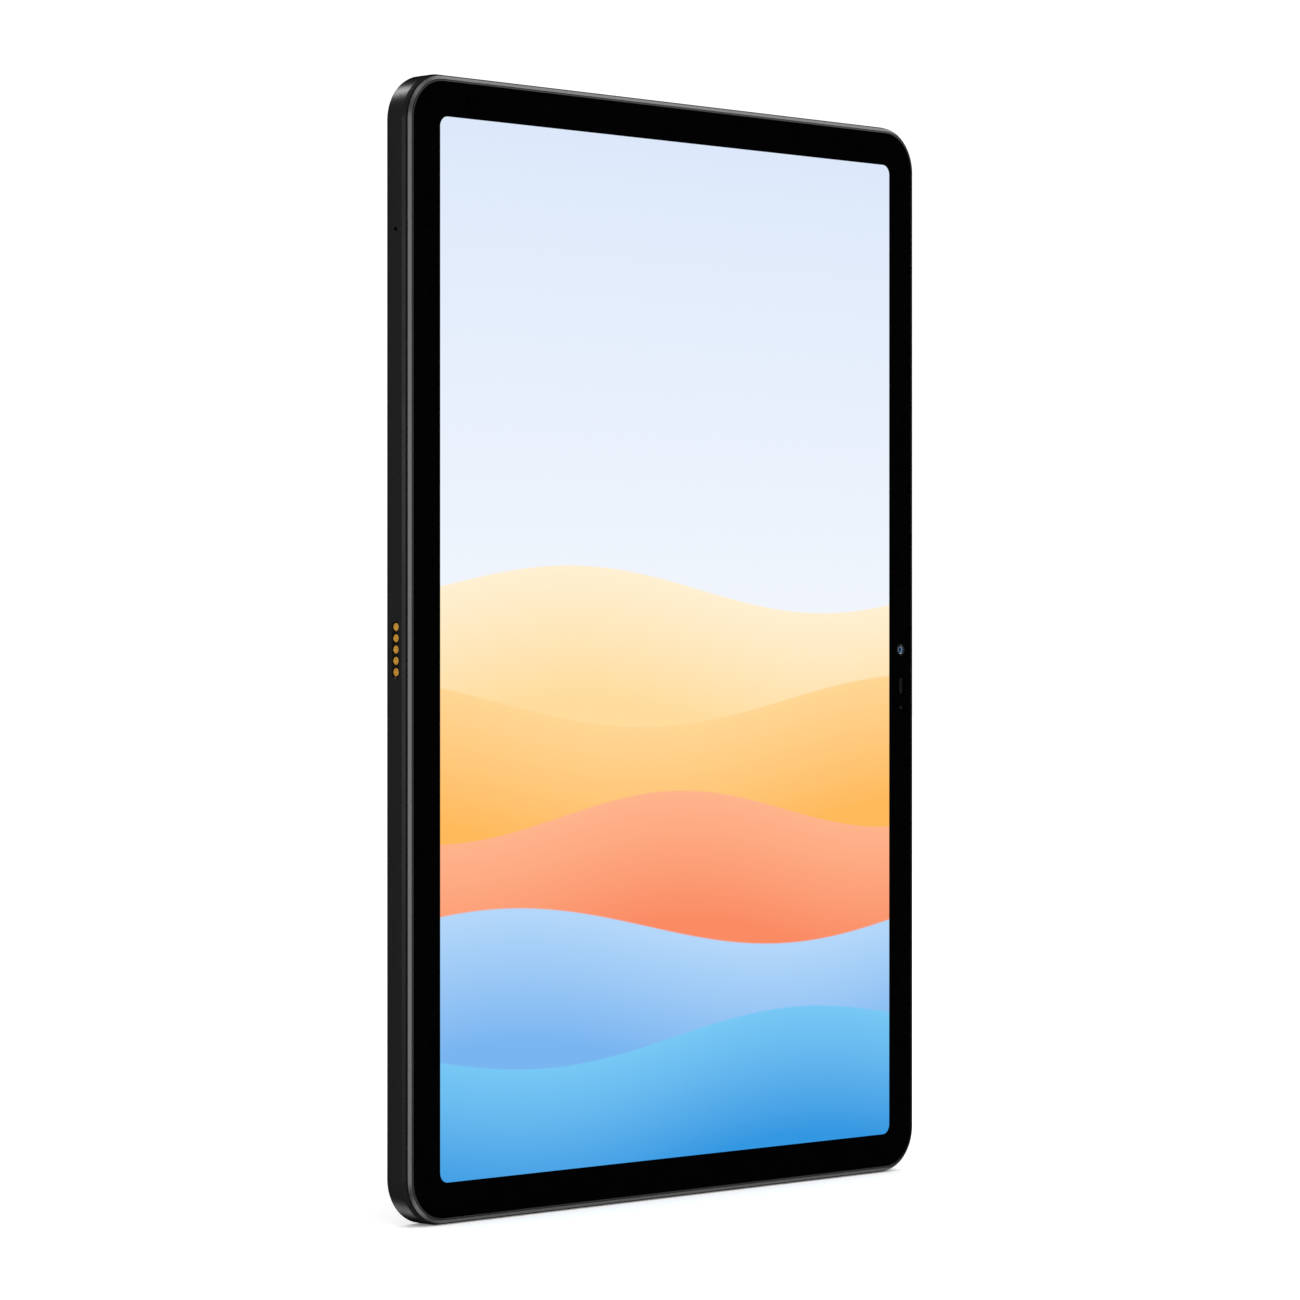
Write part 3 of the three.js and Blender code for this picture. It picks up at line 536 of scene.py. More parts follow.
def plug(name, radius, depth, flare, centre, axis, steps=48):
    """A round cutter that goes depth into a face, with a broken edge where it enters; millimetres."""
    entry = radius + flare
    profile = [(0, -depth), (radius, -depth), (radius, -flare), (entry, 0), (entry, 1), (0, 1)]
    return lathe(name, profile, centre, axis, steps)


def merge_meshes(name, parts):
    """One mesh from several, keeping their material indices."""
    mesh = bmesh.new()
    for part in parts:
        mesh.from_mesh(part)
        bpy.data.meshes.remove(part)
    data = bpy.data.meshes.new(name)
    mesh.to_mesh(data)
    mesh.free()
    return data


def combine(data, others, operation, *materials):
    """The mesh with the others taken out of it or joined to it, keeping its material indices."""
    for material in materials:
        data.materials.append(material)
    target = bpy.data.objects.new("combine_target", data)
    tool = bpy.data.objects.new("combine_tool", merge_meshes("combine_tool", others))
    for thing in (target, tool):
        bpy.context.scene.collection.objects.link(thing)
    modifier = target.modifiers.new("combine", "BOOLEAN")
    modifier.operation = operation
    modifier.solver = "EXACT"
    modifier.use_self = True
    modifier.object = tool
    depsgraph = bpy.context.evaluated_depsgraph_get()
    result = bpy.data.meshes.new_from_object(target.evaluated_get(depsgraph))
    result.name = data.name
    for thing in (target, tool):
        mesh = thing.data
        bpy.data.objects.remove(thing)
        bpy.data.meshes.remove(mesh)
    return result


def carve(data, cutters, *materials):
    return combine(data, cutters, "DIFFERENCE", *materials)


def at_depths(stations, outline=body_outline):
    """Loops of an outline at (depth behind the front face, inset), both in millimetres."""
    return [on_front(outline(inset * MM), FRONT + depth * MM) for depth, inset in stations]


def arc(depth, inset, radius, steps, start, end):
    """Stations on an arc about (depth, inset), from one angle to another in degrees."""
    stations = []
    for i in range(steps + 1):
        angle = math.radians(start + (end - start) * i / steps)
        stations.append((depth + radius * math.sin(angle), inset - radius * math.cos(angle)))
    return stations


def place_piece(data, slot, *materials, body=BODY, replaces=()):
    """Puts a mesh in the scene under its own name, riding on a body, and hides the pieces that it replaces.
    """
    for index, material in enumerate(materials):
        if index < len(data.materials):
            data.materials[index] = material
        else:
            data.materials.append(material)
    data.shade_smooth()
    data.set_sharp_from_angle(angle=SHARP_ANGLE)
    thing = bpy.data.objects.new(data.name, data)
    bpy.context.scene.collection.objects.link(thing)
    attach(thing, body)
    if replaces:
        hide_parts(*replaces)
    return thing


# ---- Glass and display ---------------------------------------------------------------------------

CAMERA_CENTRE = Vector((centre_of("light_sensor").x, FRONT, MIDDLE))
SENSOR_Z = centre_of("light_sensor").z
INDICATOR_Z = centre_of("indicator_led").z
LENS_OPENING = 1.5
SENSOR_HALF = (2.0 * MM, 0.55 * MM)
INDICATOR_RADIUS = 0.45


def glass_stations():
    """The outer run of the cover glass as (depth, inset), from its flat front over its round edge."""
    edge_drop, flat_inset, edge_inset = 0.13, 1.62, 1.34
    stations = []
    for angle in range(0, 91, 10):
        turn = math.radians(angle)
        depth = edge_drop * (1 - math.cos(turn))
        stations.append((depth, flat_inset - (flat_inset - edge_inset) * math.sin(turn)))
    return stations + [(0.75, edge_inset), (0.8, edge_inset + 0.05)]


def make_glass(printed, ground):
    pocket_floor = 0.45
    loops = [on_front(display_outline(), FRONT + depth * MM) for depth in (pocket_floor, 0.0)]
    outer = glass_stations()
    bands = [0, 0] + [1] * (len(outer) - 2) + [0]
    sheet = skin("front_glass", loops + at_depths(outer), bands)
    slot_outline = upright(stadium(*SENSOR_HALF))
    slot_levels = [FRONT + depth * MM for depth in (-1.0, 0.3)]
    cutters = [
        plug("opening", LENS_OPENING, 0.5, 0.03, CAMERA_CENTRE, FORWARD),
        plug("dot", INDICATOR_RADIUS, 0.3, 0.02, (CAMERA_CENTRE.x, FRONT, INDICATOR_Z), FORWARD, 24),
        skin("slot", [on_front(slot_outline, y, CAMERA_CENTRE.x, SENSOR_Z) for y in slot_levels]),
    ]
    sheet = carve(sheet, cutters, printed, ground)
    place_piece(sheet, "black_glass", printed, ground, replaces=["cover_glass"])


def make_display(picture):
    gap = 0.02 * MM
    loops = [on_front(display_outline(gap), FRONT + depth * MM) for depth in (0.0, 0.4)]
    place_piece(skin("display_window", loops), "display", picture)


def make_front_camera(glass, black, smoked, polished):
    lens = [(0.0, -0.1), (0.18, -0.115), (0.37, -0.16), (0.51, -0.22), (0.63, -0.29), (0.72, -0.37)]
    lens += [(0.75, -0.45), (0.0, -0.45)]
    lens.reverse()
    place_piece(lathe("front_lens", lens, CAMERA_CENTRE, FORWARD), "clear_glass", glass)
    seat = [(1.03, -0.45), (1.03, -0.09), (1.02, -0.08), (1.0, -0.09)]
    seat += [(0.93, -0.43), (0.79, -0.43), (0.77, -0.45)]
    place_piece(lathe("front_lens_seat", seat, CAMERA_CENTRE, FORWARD), "steel", polished)
    collar = [(1.05, -0.45), (1.05, -0.05), (1.08, -0.03)]
    collar += [(LENS_OPENING - 0.04, -0.03), (LENS_OPENING - 0.02, -0.45)]
    place_piece(lathe("front_lens_collar", collar, CAMERA_CENTRE, FORWARD), "black_plastic", black)

    gap = 0.02 * MM
    outline = upright(stadium(SENSOR_HALF[0] - gap, SENSOR_HALF[1] - gap))
    levels = [FRONT + depth * MM for depth in (0.01, 0.28)]
    window = skin("sensor_window", [on_front(outline, y, CAMERA_CENTRE.x, SENSOR_Z) for y in levels])
    place_piece(window, "clear_glass", smoked)

    radius = INDICATOR_RADIUS - 0.02
    dot = [(0, -0.28), (radius, -0.28), (radius, -0.01), (0, -0.01)]
    place = (CAMERA_CENTRE.x, FRONT, INDICATOR_Z)
    place_piece(lathe("indicator_window", dot, place, FORWARD, 24), "clear_glass", smoked)


# ---- Housing -------------------------------------------------------------------------------------

WALL = 3.0
BODY_DEPTH = 7.4
REAR_ROUNDING = 0.7
COVER_SEAT = 1.9
SLOT_COUNT = 6
SLOT_PITCH = 4.2
SPEAKER_SLOT_HALF = (1.5, 0.6)
PORT_HALF = (4.57, 1.7)
BUTTON_GAP = 0.15
BUTTON_SLOT_HALF_WIDTH = 1.35
TRAY_SLOT_HALF_WIDTH = 1.22
CONTACT_SLOT_HALF_WIDTH = 1.2
MICROPHONE_RADIUS = 0.55
EDGE_BREAK = 0.12
CUT_DEPTH = 4.0


def frame_stations():
    """(depth, inset, material of the strip that follows), from the mid plate's front to its rear."""
    plain, cut = 0, 1
    stations = [(2.75, WALL, plain), (1.0, WALL, plain), (1.0, 1.3, plain), (0.17, 1.3, plain)]
    stations += [(0.14, 1.28, plain), (0.14, 1.16, cut), (0.16, 1.13, cut)]
    stations += [(0.60, 0.46, cut), (0.63, 0.45, plain)]
    stations += [(0.66, 0.47, plain), (0.68, 0.66, plain), (1.08, 0.66, plain), (1.11, 0.28, plain)]
    stations += [(1.15, 0.24, plain), (2.00, 0.02, plain), (2.10, 0.004, plain), (2.2, 0.0, plain)]
    rounding = arc(BODY_DEPTH - REAR_ROUNDING, REAR_ROUNDING, REAR_ROUNDING, 10, 0, 90)
    stations += [(depth, inset, plain) for depth, inset in rounding]
    stations += [(BODY_DEPTH, COVER_SEAT - 0.04, plain), (BODY_DEPTH - 0.04, COVER_SEAT, plain)]
    stations += [(6.5, COVER_SEAT, plain), (6.5, WALL, plain), (3.25, WALL, plain)]
    return stations


def flared(place, half_length, half_width, face, outward):
    """A stadium cutter through a wall, with a finely broken edge at its outer face; millimetres."""
    levels = [(1.0, EDGE_BREAK), (0.0, EDGE_BREAK), (-EDGE_BREAK, 0.0), (-CUT_DEPTH, 0.0)]
    loops = []
    for level, flare in levels:
        outline = stadium((half_length + flare) * MM, (half_width + flare) * MM)
        loops.append(place(outline, face + outward * level * MM))
    return skin("cutter", loops)


def end_cutter(half_length, half_width, x, face, outward):
    return flared(lambda points, z: on_end(points, z, x), half_length, half_width, face, outward)


def side_cutter(half_length, half_width, z, outward):
    face = outward * HALF_WIDTH
    return flared(lambda points, x: on_side(points, x, z), half_length, half_width, face, outward)


def half_with_gap(node, gap):
    """Half of a piece's height, with a gap, in millimetres."""
    return size_of(node).z / MM / 2 + gap


def speaker_slots():
    cutters = []
    for node in ("speaker_mesh_bottom_left", "speaker_mesh_bottom_right"):
        for i in range(SLOT_COUNT):
            x = centre_of(node).x + (i - (SLOT_COUNT - 1) / 2) * SLOT_PITCH * MM
            cutters.append(end_cutter(*SPEAKER_SLOT_HALF, x, 0.0, -1))
            cutters.append(end_cutter(*SPEAKER_SLOT_HALF, x, TOP, 1))
    return cutters


def make_frame(metal, chamfer):
    stations = frame_stations()
    bands = [index for _, _, index in stations[:-1]]
    blank = skin("housing_frame", at_depths([(depth, inset) for depth, inset, _ in stations]), bands)
    cutters = [
        end_cutter(*PORT_HALF, 0.0, 0.0, -1),
        end_cutter(POWER_HALF + BUTTON_GAP, BUTTON_SLOT_HALF_WIDTH, centre_of("power_button").x, TOP, 1),
        side_cutter(ROCKER_HALF + BUTTON_GAP, BUTTON_SLOT_HALF_WIDTH, centre_of("volume_rocker").z, 1),
        side_cutter(half_with_gap("card_tray", 0.12), TRAY_SLOT_HALF_WIDTH, centre_of("card_tray").z, 1),
        side_cutter(half_with_gap("contact_block", 0.05), CONTACT_SLOT_HALF_WIDTH, MIDDLE, -1),
        side_cutter(MICROPHONE_RADIUS, MICROPHONE_RADIUS, centre_of("microphone").z, -1),
        *speaker_slots(),
    ]
    place_piece(carve(blank, cutters, metal, chamfer), "dark_metal", metal, chamfer, replaces=["mid_frame"])


def make_rear_cover(metal):
    edge = [(6.6, 2.0), (7.3, 2.0), (7.33, 2.03), (7.37, 2.08), (7.4, 2.2)]
    plate = skin("back_cover", at_depths(edge))
    cutters = []
    for node, gap in (("rear_camera_ring", 0.12), ("flash_window", 0.1)):
        centre = centre_of(node)
        radius = size_of(node).x / MM / 2 + gap
        cutters.append(plug("opening", radius, 2.0, 0.08, (centre.x, REAR, centre.z), BACKWARD, 96))
    place_piece(carve(plate, cutters), "dark_metal", metal, replaces=["rear_cover"])


# ---- Side pieces ---------------------------------------------------------------------------------

POWER_HALF = 6.0
ROCKER_HALF = 12.0
BUTTON_HALF_WIDTH = 1.2
FLANGE_HALF_WIDTH = 1.05
FLANGE_OVERLAP = 0.8
PLUNGER_HALF = (1.5, 0.8)
PLUNGER_OFFSET = 8.0
# A button's rounded face, as (distance under its face, inset).
BUTTON_FACE = [(0.34, 0.0), (0.2, 0.02), (0.1, 0.07), (0.04, 0.14), (0.01, 0.24), (0.0, 0.36)]


def button_levels(half_length, rise):
    """(Level from the wall's face, half length, half width) from the flange to the rounded face."""
    flange_top, flange_end = -(WALL + 0.35), -(WALL + 0.85)
    long_half = half_length + FLANGE_OVERLAP
    levels = [(flange_end, long_half, FLANGE_HALF_WIDTH), (flange_top, long_half, FLANGE_HALF_WIDTH)]
    levels.append((flange_top, half_length, BUTTON_HALF_WIDTH))
    for drop, inset in BUTTON_FACE:
        levels.append((rise - drop, half_length - inset, BUTTON_HALF_WIDTH - inset))
    return levels


def plunger_levels():
    end, start = -(WALL + 1.2), -(WALL + 0.8)
    return [(end, *PLUNGER_HALF), (start, *PLUNGER_HALF)]


def levels_skin(name, levels, place):
    loops = [place(stadium(length * MM, width * MM), level * MM) for level, length, width in levels]
    return skin(name, loops)


def make_power_button(metal):
    x = centre_of("power_button").x

    def place(points, level):
        return on_end(points, TOP + level, x)

    head = levels_skin("power_key", button_levels(POWER_HALF, -0.02), place)
    plunger = levels_skin("plunger", plunger_levels(), place)
    key = combine(head, [plunger], "UNION")
    place_piece(key, "dark_metal", metal, body="power_button", replaces=["power_button"])


def make_volume_rocker(metal):
    z = centre_of("volume_rocker").z
    parts = []
    for offset in (0.0, PLUNGER_OFFSET, -PLUNGER_OFFSET):

        def place(points, level, offset=offset):
            return on_side(points, HALF_WIDTH + level, z + offset * MM)

        levels = plunger_levels() if offset else button_levels(ROCKER_HALF, 0.35)
        parts.append(levels_skin("volume_key", levels, place))
    key = combine(parts[0], parts[1:], "UNION")
    place_piece(key, "dark_metal", metal, body="volume_rocker", replaces=["volume_rocker"])


def make_card_tray(metal):
    """The tray's head, flush in the side wall, with its plate, card opening and pin hole."""
    low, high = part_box("card_tray")
    z = (low.z + high.z) / 2
    head_depth, plate_half_width, plate_half_height = 1.6, 7.25, 0.35
    half_length, half_width = (high.z - low.z) / 2 / MM, (high.y - low.y) / 2 / MM
    card_border, card_length, card_half_width = 1.6, 15.2, 5.6
    pin_offset, pin_radius = 8.7, 0.45

    def place(points, level):
        return on_side(points, high.x + level, z)

    levels = [(-head_depth, half_length, half_width), (-0.08, half_length, half_width)]
    levels += [(-0.02, half_length - 0.03, half_width - 0.03), (0.0, half_length - 0.1, half_width - 0.1)]
    head = levels_skin("sim_tray", levels, place)

    corner = 0.12 * MM
    outline = rounded_outline(plate_half_width * MM, plate_half_height * MM, corner, 3)
    plate = skin("plate", [on_side(outline, x, z) for x in (low.x, high.x - (head_depth - 0.1) * MM)])
    opening_middle = low.x + (card_border + card_length / 2) * MM
    opening = rounded_outline(card_length / 2 * MM, card_half_width * MM, 1 * MM, 6)
    levels = [PORT_LINE - MM, PORT_LINE + MM]
    hole = skin("opening", [on_front(opening, y, opening_middle, z) for y in levels])
    pin = plug("pin", pin_radius, 3.0, 0.08, (high.x, PORT_LINE, z + pin_offset * MM), RIGHT, 24)
    tray = carve(combine(head, [plate], "UNION"), [hole, pin])
    place_piece(tray, "dark_metal", metal, body="card_tray", replaces=["card_tray"])


def make_contacts(plastic, gold):
    """A black block with five counterbores, and a turned gold contact in each."""
    low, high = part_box("contact_block")
    half_length, half_width = (high.z - low.z) / 2 / MM, (high.y - low.y) / 2 / MM
    thickness = (high.x - low.x) / MM

    def place(points, level):
        return on_side(points, low.x + level, MIDDLE)

    levels = [(thickness, half_length, half_width), (0.08, half_length, half_width)]
    levels += [(0.02, half_length - 0.03, half_width - 0.03), (0.0, half_length - 0.1, half_width - 0.1)]
    block = levels_skin("contact_holder", levels, place)
    nodes = [name for name in frame["nodes"] if name.startswith("contact_") and name[-1].isdigit()]
    bores = []
    for node in sorted(nodes):
        z = centre_of(node).z
        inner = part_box(node)[1].x
        radius = size_of(node).z / MM / 2
        bores.append(plug("bore", radius + 0.1, 0.62, 0.06, (low.x, PORT_LINE, z), LEFT))
        profile = [(0, 0), (radius, 0), (radius, 0.3), (radius - 0.03, 0.36), (radius - 0.1, 0.41)]
        profile += [(0.68, 0.44), (0.58, 0.43), (0.52, 0.36), (0.45, 0.36), (0.39, 0.44), (0.3, 0.49)]
        profile += [(0.18, 0.53), (0.08, 0.545), (0, 0.55)]
        contact = lathe(node.replace("contact", "charging_contact"), profile, (inner, PORT_LINE, z), LEFT)
        place_piece(contact, "gold_contact", gold, replaces=[node])
    place_piece(carve(block, bores), "black_plastic", plastic, replaces=["contact_block"])


# ---- Charging port and speakers ------------------------------------------------------------------


def make_port(steel, plastic, gold):
    """A drawn steel shell with a rolled lip, and a tongue that carries two rows of gold pads."""
    low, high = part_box("usb_c_shell")
    half_length, half_width = (high.x - low.x) / 2 / MM, (high.y - low.y) / 2 / MM
    wall = 0.3
    stations = [(high.z, 0.0), (low.z + 0.1 * MM, 0.0), (low.z + 0.03 * MM, 0.04), (low.z, 0.12)]
    stations += [(low.z, 0.2), (low.z + 0.04 * MM, 0.27), (low.z + 0.12 * MM, wall)]
    stations.append((high.z - wall * MM, wall))
    loops = [on_end(stadium((half_length - i) * MM, (half_width - i) * MM), z, 0.0) for z, i in stations]
    place_piece(skin("port_shell", loops), "steel", steel, replaces=["usb_c_shell"])

    low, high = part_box("usb_c_tongue")
    tongue_half, tongue_thickness = (3.35, 0.35), 0.35
    base_half = ((high.x - low.x) / 2 / MM, (high.y - low.y) / 2 / MM)
    base_start = high.z - 1.6 * MM
    base_outline = stadium(*(half * MM for half in base_half))
    base = skin("port_tongue", [on_end(base_outline, z, 0.0) for z in (base_start, high.z)])
    tip = [(low.z, 0.1), (low.z + 0.1 * MM, 0.0), (base_start + 0.2 * MM, 0.0)]
    blade = []
    for z, inset in tip:
        half_u, half_v = ((h - inset) * MM for h in tongue_half)
        blade.append(on_end(rounded_outline(half_u, half_v, 0.12 * MM, 4), z, 0.0))
    tongue = combine(base, [skin("blade", blade)], "UNION")
    place_piece(tongue, "black_plastic", plastic, replaces=["usb_c_tongue"])

    pads = []
    pad_count, pad_pitch, pad_half_width, pad_rise = 12, 0.5, 0.125, 0.02
    pad_start, pad_end = low.z + 0.5 * MM, base_start
    for face in (-1, 1):
        for i in range(pad_count):
            x = (i - (pad_count - 1) / 2) * pad_pitch * MM
            y = PORT_LINE + face * tongue_thickness * MM
            outline = rounded_outline(pad_half_width * MM, pad_rise * MM, 0.008 * MM, 2)
            pads.append(skin("pad", [on_end(outline, z, x, y) for z in (pad_start, pad_end)]))
    place_piece(merge_meshes("port_pads", pads), "gold_contact", gold)


def perforated_plate(name, half_length, half_width, pitch, radius, front, rear, place):
    """A thin plate full of round holes, as cells that share their edges; millimetres."""
    columns, rows = int(2 * half_length / pitch), int(2 * half_width / pitch)
    ring = 8
    mesh = bmesh.new()
    for column in range(columns):
        for row in range(rows):
            u = (column - (columns - 1) / 2) * pitch
            v = (row - (rows - 1) / 2) * pitch
            loops = []
            for level in (front, rear):
                for square in (True, False):
                    loop = []
                    for i in range(ring):
                        angle = 2 * math.pi * i / ring
                        reach = radius
                        if square:
                            reach = pitch / 2 / max(abs(math.cos(angle)), abs(math.sin(angle)))
                        point = ((u + reach * math.cos(angle)) * MM, (v + reach * math.sin(angle)) * MM)
                        loop.append(mesh.verts.new(place([point], level)[0]))
                    loops.append(loop)
            outer_front, hole_front, outer_rear, hole_rear = loops
            edges = [(outer_front, hole_front), (hole_front, hole_rear), (hole_rear, outer_rear)]
            for i in range(ring):
                j = (i + 1) % ring
                middle = (i + 0.5) * 2 * math.pi / ring
                for first, second in edges:
                    mesh.faces.new((first[i], first[j], second[j], second[i]))
                on_rim = (
                    (column == columns - 1 and math.cos(middle) > 0.9)
                    or (column == 0 and math.cos(middle) < -0.9)
                    or (row == rows - 1 and math.sin(middle) > 0.9)
                    or (row == 0 and math.sin(middle) < -0.9)
                )
                if on_rim:
                    mesh.faces.new((outer_rear[i], outer_rear[j], outer_front[j], outer_front[i]))
    bmesh.ops.remove_doubles(mesh, verts=mesh.verts, dist=0.001 * MM)
    bmesh.ops.recalc_face_normals(mesh, faces=mesh.faces)
    return new_mesh(name, mesh)


def make_speaker_meshes(steel):
    """A plate of round holes behind each run of speaker slots."""
    pitch, hole_radius = 0.6, 0.2
    for end in ("bottom", "top"):
        for side in ("left", "right"):
            node = f"speaker_mesh_{end}_{side}"
            low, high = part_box(node)
            x = centre_of(node).x
            half_length, half_width = (high.x - low.x) / 2 / MM, (high.y - low.y) / 2 / MM
            front, rear = (low.z, high.z) if end == "bottom" else (high.z, low.z)
            plate = perforated_plate(
                f"pierced_plate_{end}_{side}", half_length, half_width, pitch, hole_radius, front, rear,
                lambda points, z, x=x: on_end(points, z, x),
            )
            place_piece(plate, "steel", steel, replaces=[node])


# ---- Rear camera ---------------------------------------------------------------------------------


def make_rear_camera(metal, black, clear, lens_coat):
    """A turned ring with a clear window, over a stepped lens barrel that moves to focus."""
    low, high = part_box("rear_camera_ring")
    centre = centre_of("rear_camera_ring")
    face = Vector((centre.x, high.y, centre.z))
    outer = size_of("rear_camera_ring").x / MM / 2
    depth = (high.y - low.y) / MM
    seat = 0.9
    window_radius = size_of("rear_camera_window").x / MM / 2
    opening = 4.6
    ring = [(opening, -depth), (outer, -depth), (outer, -0.42), (outer - 0.06, -0.3), (outer - 0.3, -0.06)]
    ring += [(outer - 0.42, 0), (window_radius + 0.75, 0), (window_radius + 0.65, -0.04)]
    ring += [(window_radius + 0.2, -0.2), (window_radius + 0.12, -0.28), (window_radius + 0.12, -seat)]
    ring += [(opening + 0.05, -seat), (opening, -seat - 0.05)]
    bands = [0] * len(ring)
    bands[7] = 1
    bands[3] = 1
    bezel = lathe("camera_bezel", ring, face, BACKWARD, 96, bands)
    place_piece(bezel, "dark_metal", metal[0], metal[1], replaces=["rear_camera_ring"])

    low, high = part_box("rear_camera_window")
    thickness = (high.y - low.y) / MM
    clear_radius = 3.9
    printed = [(0, -thickness), (clear_radius, -thickness), (window_radius, -thickness)]
    printed += [(window_radius, -0.14), (window_radius - 0.04, -0.05), (window_radius - 0.14, 0)]
    printed += [(clear_radius, 0), (0, 0)]
    bands = [1, 0, 0, 0, 0, 0, 1]
    pane = lathe("camera_window", printed, (centre.x, high.y, centre.z), BACKWARD, 96, bands)
    place_piece(pane, "clear_glass", black, clear, replaces=["rear_camera_window"])

    low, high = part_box("rear_lens_barrel")
    length = (high.y - low.y) / MM
    radius = size_of("rear_lens_barrel").x / MM / 2
    barrel = [(0, -length), (radius, -length), (radius, -0.1), (radius - 0.08, 0), (radius - 0.4, 0)]
    for step in range(4):
        edge = radius - 0.5 - 0.22 * step
        barrel += [(edge, -0.12 - 0.1 * step), (edge - 0.12, -0.12 - 0.1 * step)]
    barrel += [(1.95, -0.5), (1.95, -0.75), (0, -0.75)]
    rim = (centre.x, high.y, centre.z)
    turned = lathe("lens_barrel_body", barrel, rim, BACKWARD, 72)
    place_piece(turned, "black_plastic", moulded_plastic("lens_barrel_black", 0.004, 0.008, 0.42),
                body="lens_barrel", replaces=["rear_lens_barrel"])
    dome = [(0, -0.72), (1.9, -0.72), (1.9, -0.62), (1.6, -0.47), (1.2, -0.34), (0.8, -0.26)]
    dome += [(0.4, -0.21), (0, -0.2)]
    element = lathe("lens_element", dome, rim, BACKWARD, 72)
    place_piece(element, "clear_glass", lens_coat, body="lens_barrel")


def make_flash(film):
    """A flash window with the fine rings of a flat lens moulded into it."""
    low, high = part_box("flash_window")
    centre = centre_of("flash_window")
    radius = size_of("flash_window").x / MM / 2
    thickness = (high.y - low.y) / MM
    rings, groove = 5, 0.06
    profile = [(0, -thickness), (radius, -thickness), (radius, -0.08), (radius - 0.06, 0)]
    step = (radius - 0.3) / rings
    for i in range(rings):
        edge = radius - 0.2 - i * step
        profile += [(edge, 0), (edge - 0.04, -groove)]
    profile.append((0, -0.01))
    window = lathe("flash_lens", profile, (centre.x, high.y, centre.z), BACKWARD, 64)
    place_piece(window, "display", film, replaces=["flash_window"])


# ---- Camera, light and floor ---------------------------------------------------------------------


def make_camera():
    """Front left of the tablet, level with its middle, as a long lens sees it."""
    azimuth = math.radians(-44.8)
    distance = 1.066
    sideways = 0.0034
    drop = 0.0001
    image_width = 1300
    focal_length = 4557.6
    data = bpy.data.cameras.new("camera")
    data.sensor_width = 36.0
    data.lens = focal_length / image_width * data.sensor_width
    data.clip_start = 0.05
    data.clip_end = 50.0
    forward = Vector((-math.sin(azimuth), math.cos(azimuth), 0))
    right = Vector((math.cos(azimuth), math.sin(azimuth), 0))
    camera = bpy.data.objects.new("camera", data)
    camera.location = Vector((0, 0, MIDDLE - drop)) - forward * distance - right * sideways
    camera.rotation_mode = "QUATERNION"
    camera.rotation_quaternion = forward.to_track_quat("-Z", "Y")
    bpy.context.scene.collection.objects.link(camera)
    bpy.context.scene.camera = camera


def add_softbox(name, direction, distance, size, radiance):
    """A square area light that faces the middle of the tablet; radiance is what a mirror would show."""
    target = Vector((0, 0, MIDDLE))
    way = Vector(direction).normalized()
    data = bpy.data.lights.new(name, "AREA")
    data.shape = "SQUARE"
    data.size = size
    data.energy = radiance * math.pi * size ** 2
    light = bpy.data.objects.new(name, data)
    light.location = target + way * distance
    light.rotation_mode = "QUATERNION"
    light.rotation_quaternion = (-way).to_track_quat("-Z", "Y")
    bpy.context.scene.collection.objects.link(light)


def make_light():
    """A white surround that mirrors and clear windows don't see, and softboxes that they do.

    The low softboxes are under the floor, which mirror reflections pass through.
    """
    world = bpy.data.worlds.new("studio")
    world.use_nodes = True
    background = world.node_tree.nodes["Background"]
    background.inputs["Color"].default_value = (1, 1, 1, 1)
    background.inputs["Strength"].default_value = 1.1
    world.cycles_visibility.glossy = False
    world.cycles_visibility.transmission = False
    bpy.context.scene.world = world
    add_softbox("front_softbox", (-0.40, -0.92, 0.0), 1.6, 1.1, 1.0)
    add_softbox("left_softbox", (-0.93, 0.36, 0.06), 1.5, 0.5, 1.1)
    add_softbox("high_rear_softbox", (-0.10, 0.71, 0.70), 1.5, 0.3, 10.0)
    add_softbox("high_front_softbox", (0.69, -0.30, 0.66), 1.5, 1.1, 1.3)
    add_softbox("high_middle_softbox", (0.03, -0.74, 0.67), 1.5, 0.8, 1.0)
    add_softbox("low_rear_softbox", (-0.05, 0.71, -0.70), 1.5, 0.5, 1.8)
    add_softbox("low_front_softbox", (0.69, -0.30, -0.66), 1.5, 0.9, 0.5)
    add_softbox("low_middle_softbox", (0.03, -0.74, -0.67), 1.5, 0.9, 1.0)
    bpy.context.scene.view_settings.view_transform = "Standard"


def make_floor():
    half = 6.0
    data = bpy.data.meshes.new("floor")
    corners = [(-half, -half, 0), (half, -half, 0), (half, half, 0), (-half, half, 0)]
    data.from_pydata(corners, [], [(0, 1, 2, 3)])
    paint = Paint("pale_floor")
    paint.set(
        Base_Color=paint.ramp(paint.noise(4.0), (0.3, 0.95), (0.7, 0.97)),
        Roughness=0.9,
        Specular_IOR_Level=0.0,
        Emission_Color=(1, 1, 1, 1),
        Emission_Strength=0.15,
    )
    data.materials.append(paint.material)
    floor = bpy.data.objects.new("floor", data)
    floor.visible_glossy = False
    bpy.context.scene.collection.objects.link(floor)


# ---- Assembly ------------------------------------------------------------------------------------

make_camera()
make_light()
make_floor()

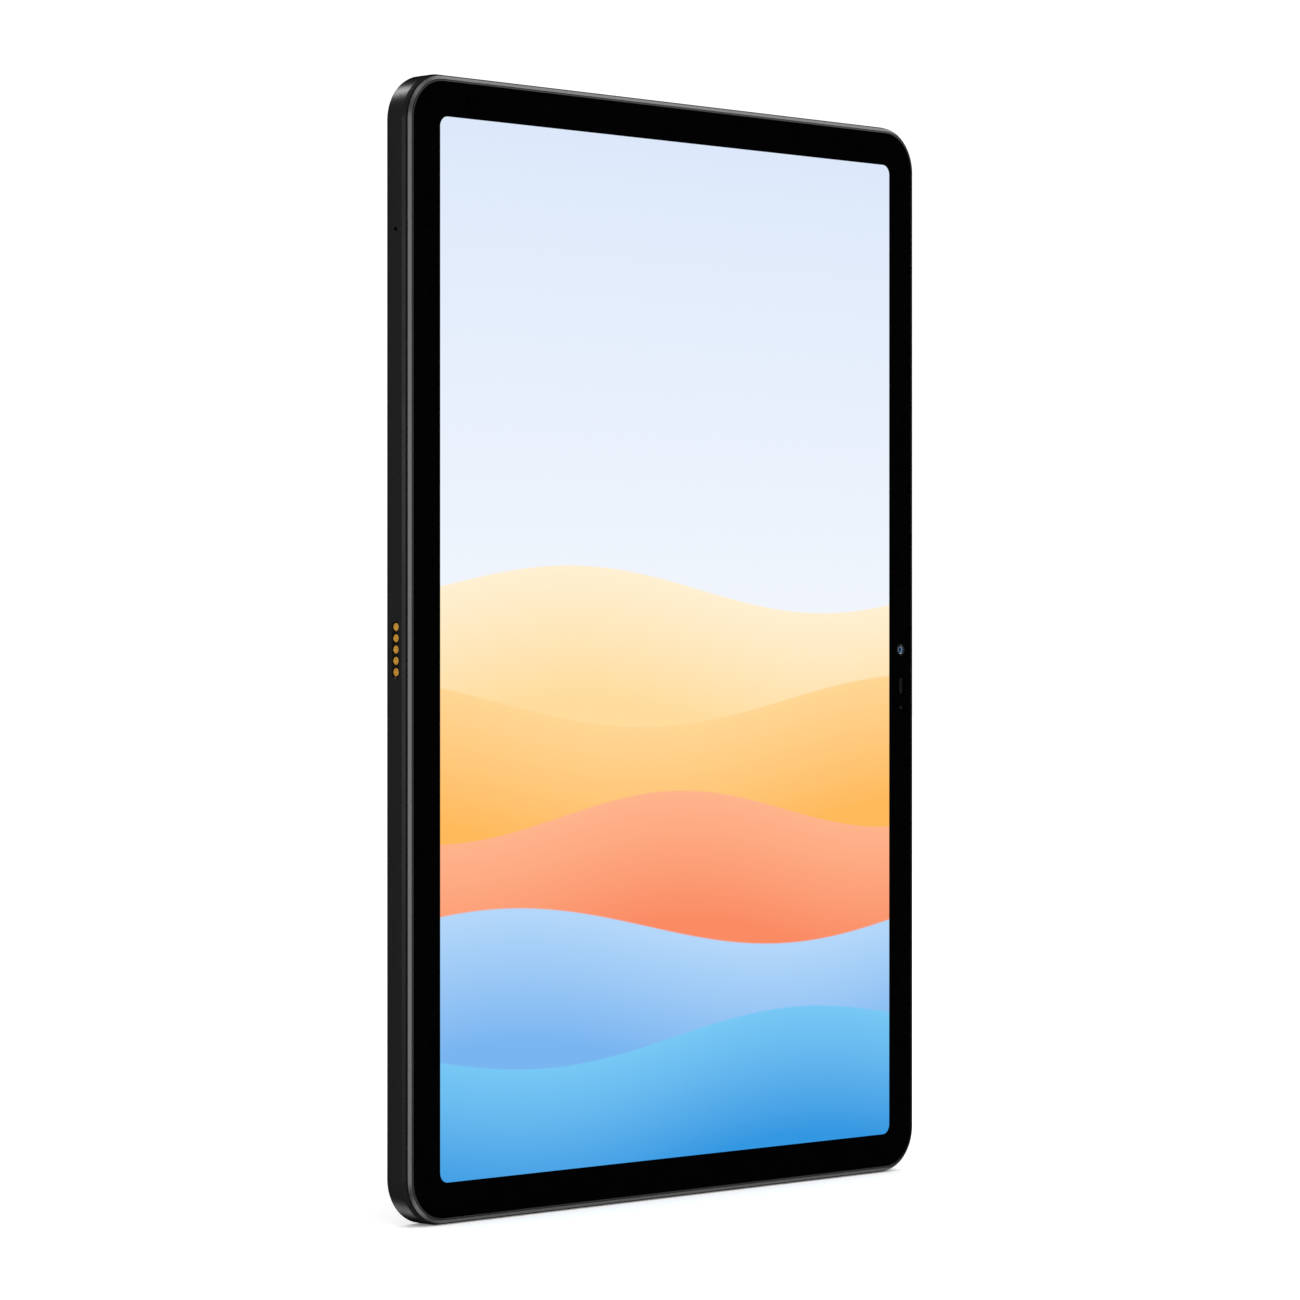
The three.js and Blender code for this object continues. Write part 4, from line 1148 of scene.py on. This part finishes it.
DARK_METAL = metal_finish("dark_metal", 0.0135, 0.0165, 0.3)
REAR_METAL = metal_finish("rear_metal", 0.018, 0.022, 0.46)
CUT_METAL = cut_metal()
BLACK_GLASS = black_glass()
LENS = coated_glass("lens_coating", "0a0c18", "1c2238")
FRONT_LENS = coated_glass("front_lens_coating", "0a1c3c", "1c4478")
POLISHED = bright_steel("polished_seat", (1, 1, 1), tone("b4ccdc"), tone("eaf4fa"), 0.14, 1.0)
SMOKED = coated_glass("smoked_window", "0c0c0e", "18181c", 0.3, 0.3)
BLACK_PLASTIC = moulded_plastic("black_plastic", 0.002, 0.005)
GOLD = gold_plate()
STEEL = bright_steel("drawn_steel", (1, 1, 12))
FILM = diffuser_film()

make_glass(BLACK_GLASS, ground_glass())
make_display(lit_display())
make_front_camera(FRONT_LENS, BLACK_PLASTIC, SMOKED, POLISHED)
make_frame(DARK_METAL, CUT_METAL)
make_rear_cover(REAR_METAL)
make_power_button(DARK_METAL)
make_volume_rocker(DARK_METAL)
make_card_tray(DARK_METAL)
make_contacts(BLACK_PLASTIC, GOLD)
make_port(STEEL, BLACK_PLASTIC, GOLD)
make_speaker_meshes(bright_steel("pierced_steel", (1, 1, 1), 0.10, 0.16))
make_rear_camera((DARK_METAL, CUT_METAL), BLACK_GLASS, clear_window(), LENS)
make_flash(FILM)

SLOT_MATERIALS = {
    "black_glass": BLACK_GLASS,
    "clear_glass": LENS,
    "display": FILM,
    "dark_metal": DARK_METAL,
    "black_plastic": BLACK_PLASTIC,
    "gasket": foam_tape(),
    "gold_contact": GOLD,
    "steel": STEEL,
    "copper": copper_sheet(),
    "circuit_board": circuit_board(),
    "battery_wrap": battery_foil(),
    "flex_film": flex_film(),
    "magnet": bright_steel("nickel_plate", (1, 1, 1), 0.46, 0.56),
}

for row in frame["record"]["subparts"]:
    node = frame["nodes"][row["node"]]
    material = SLOT_MATERIALS[row["material_slot"]]
    if node.data.materials:
        for i in range(len(node.data.materials)):
            node.data.materials[i] = material
    else:
        node.data.materials.append(material)
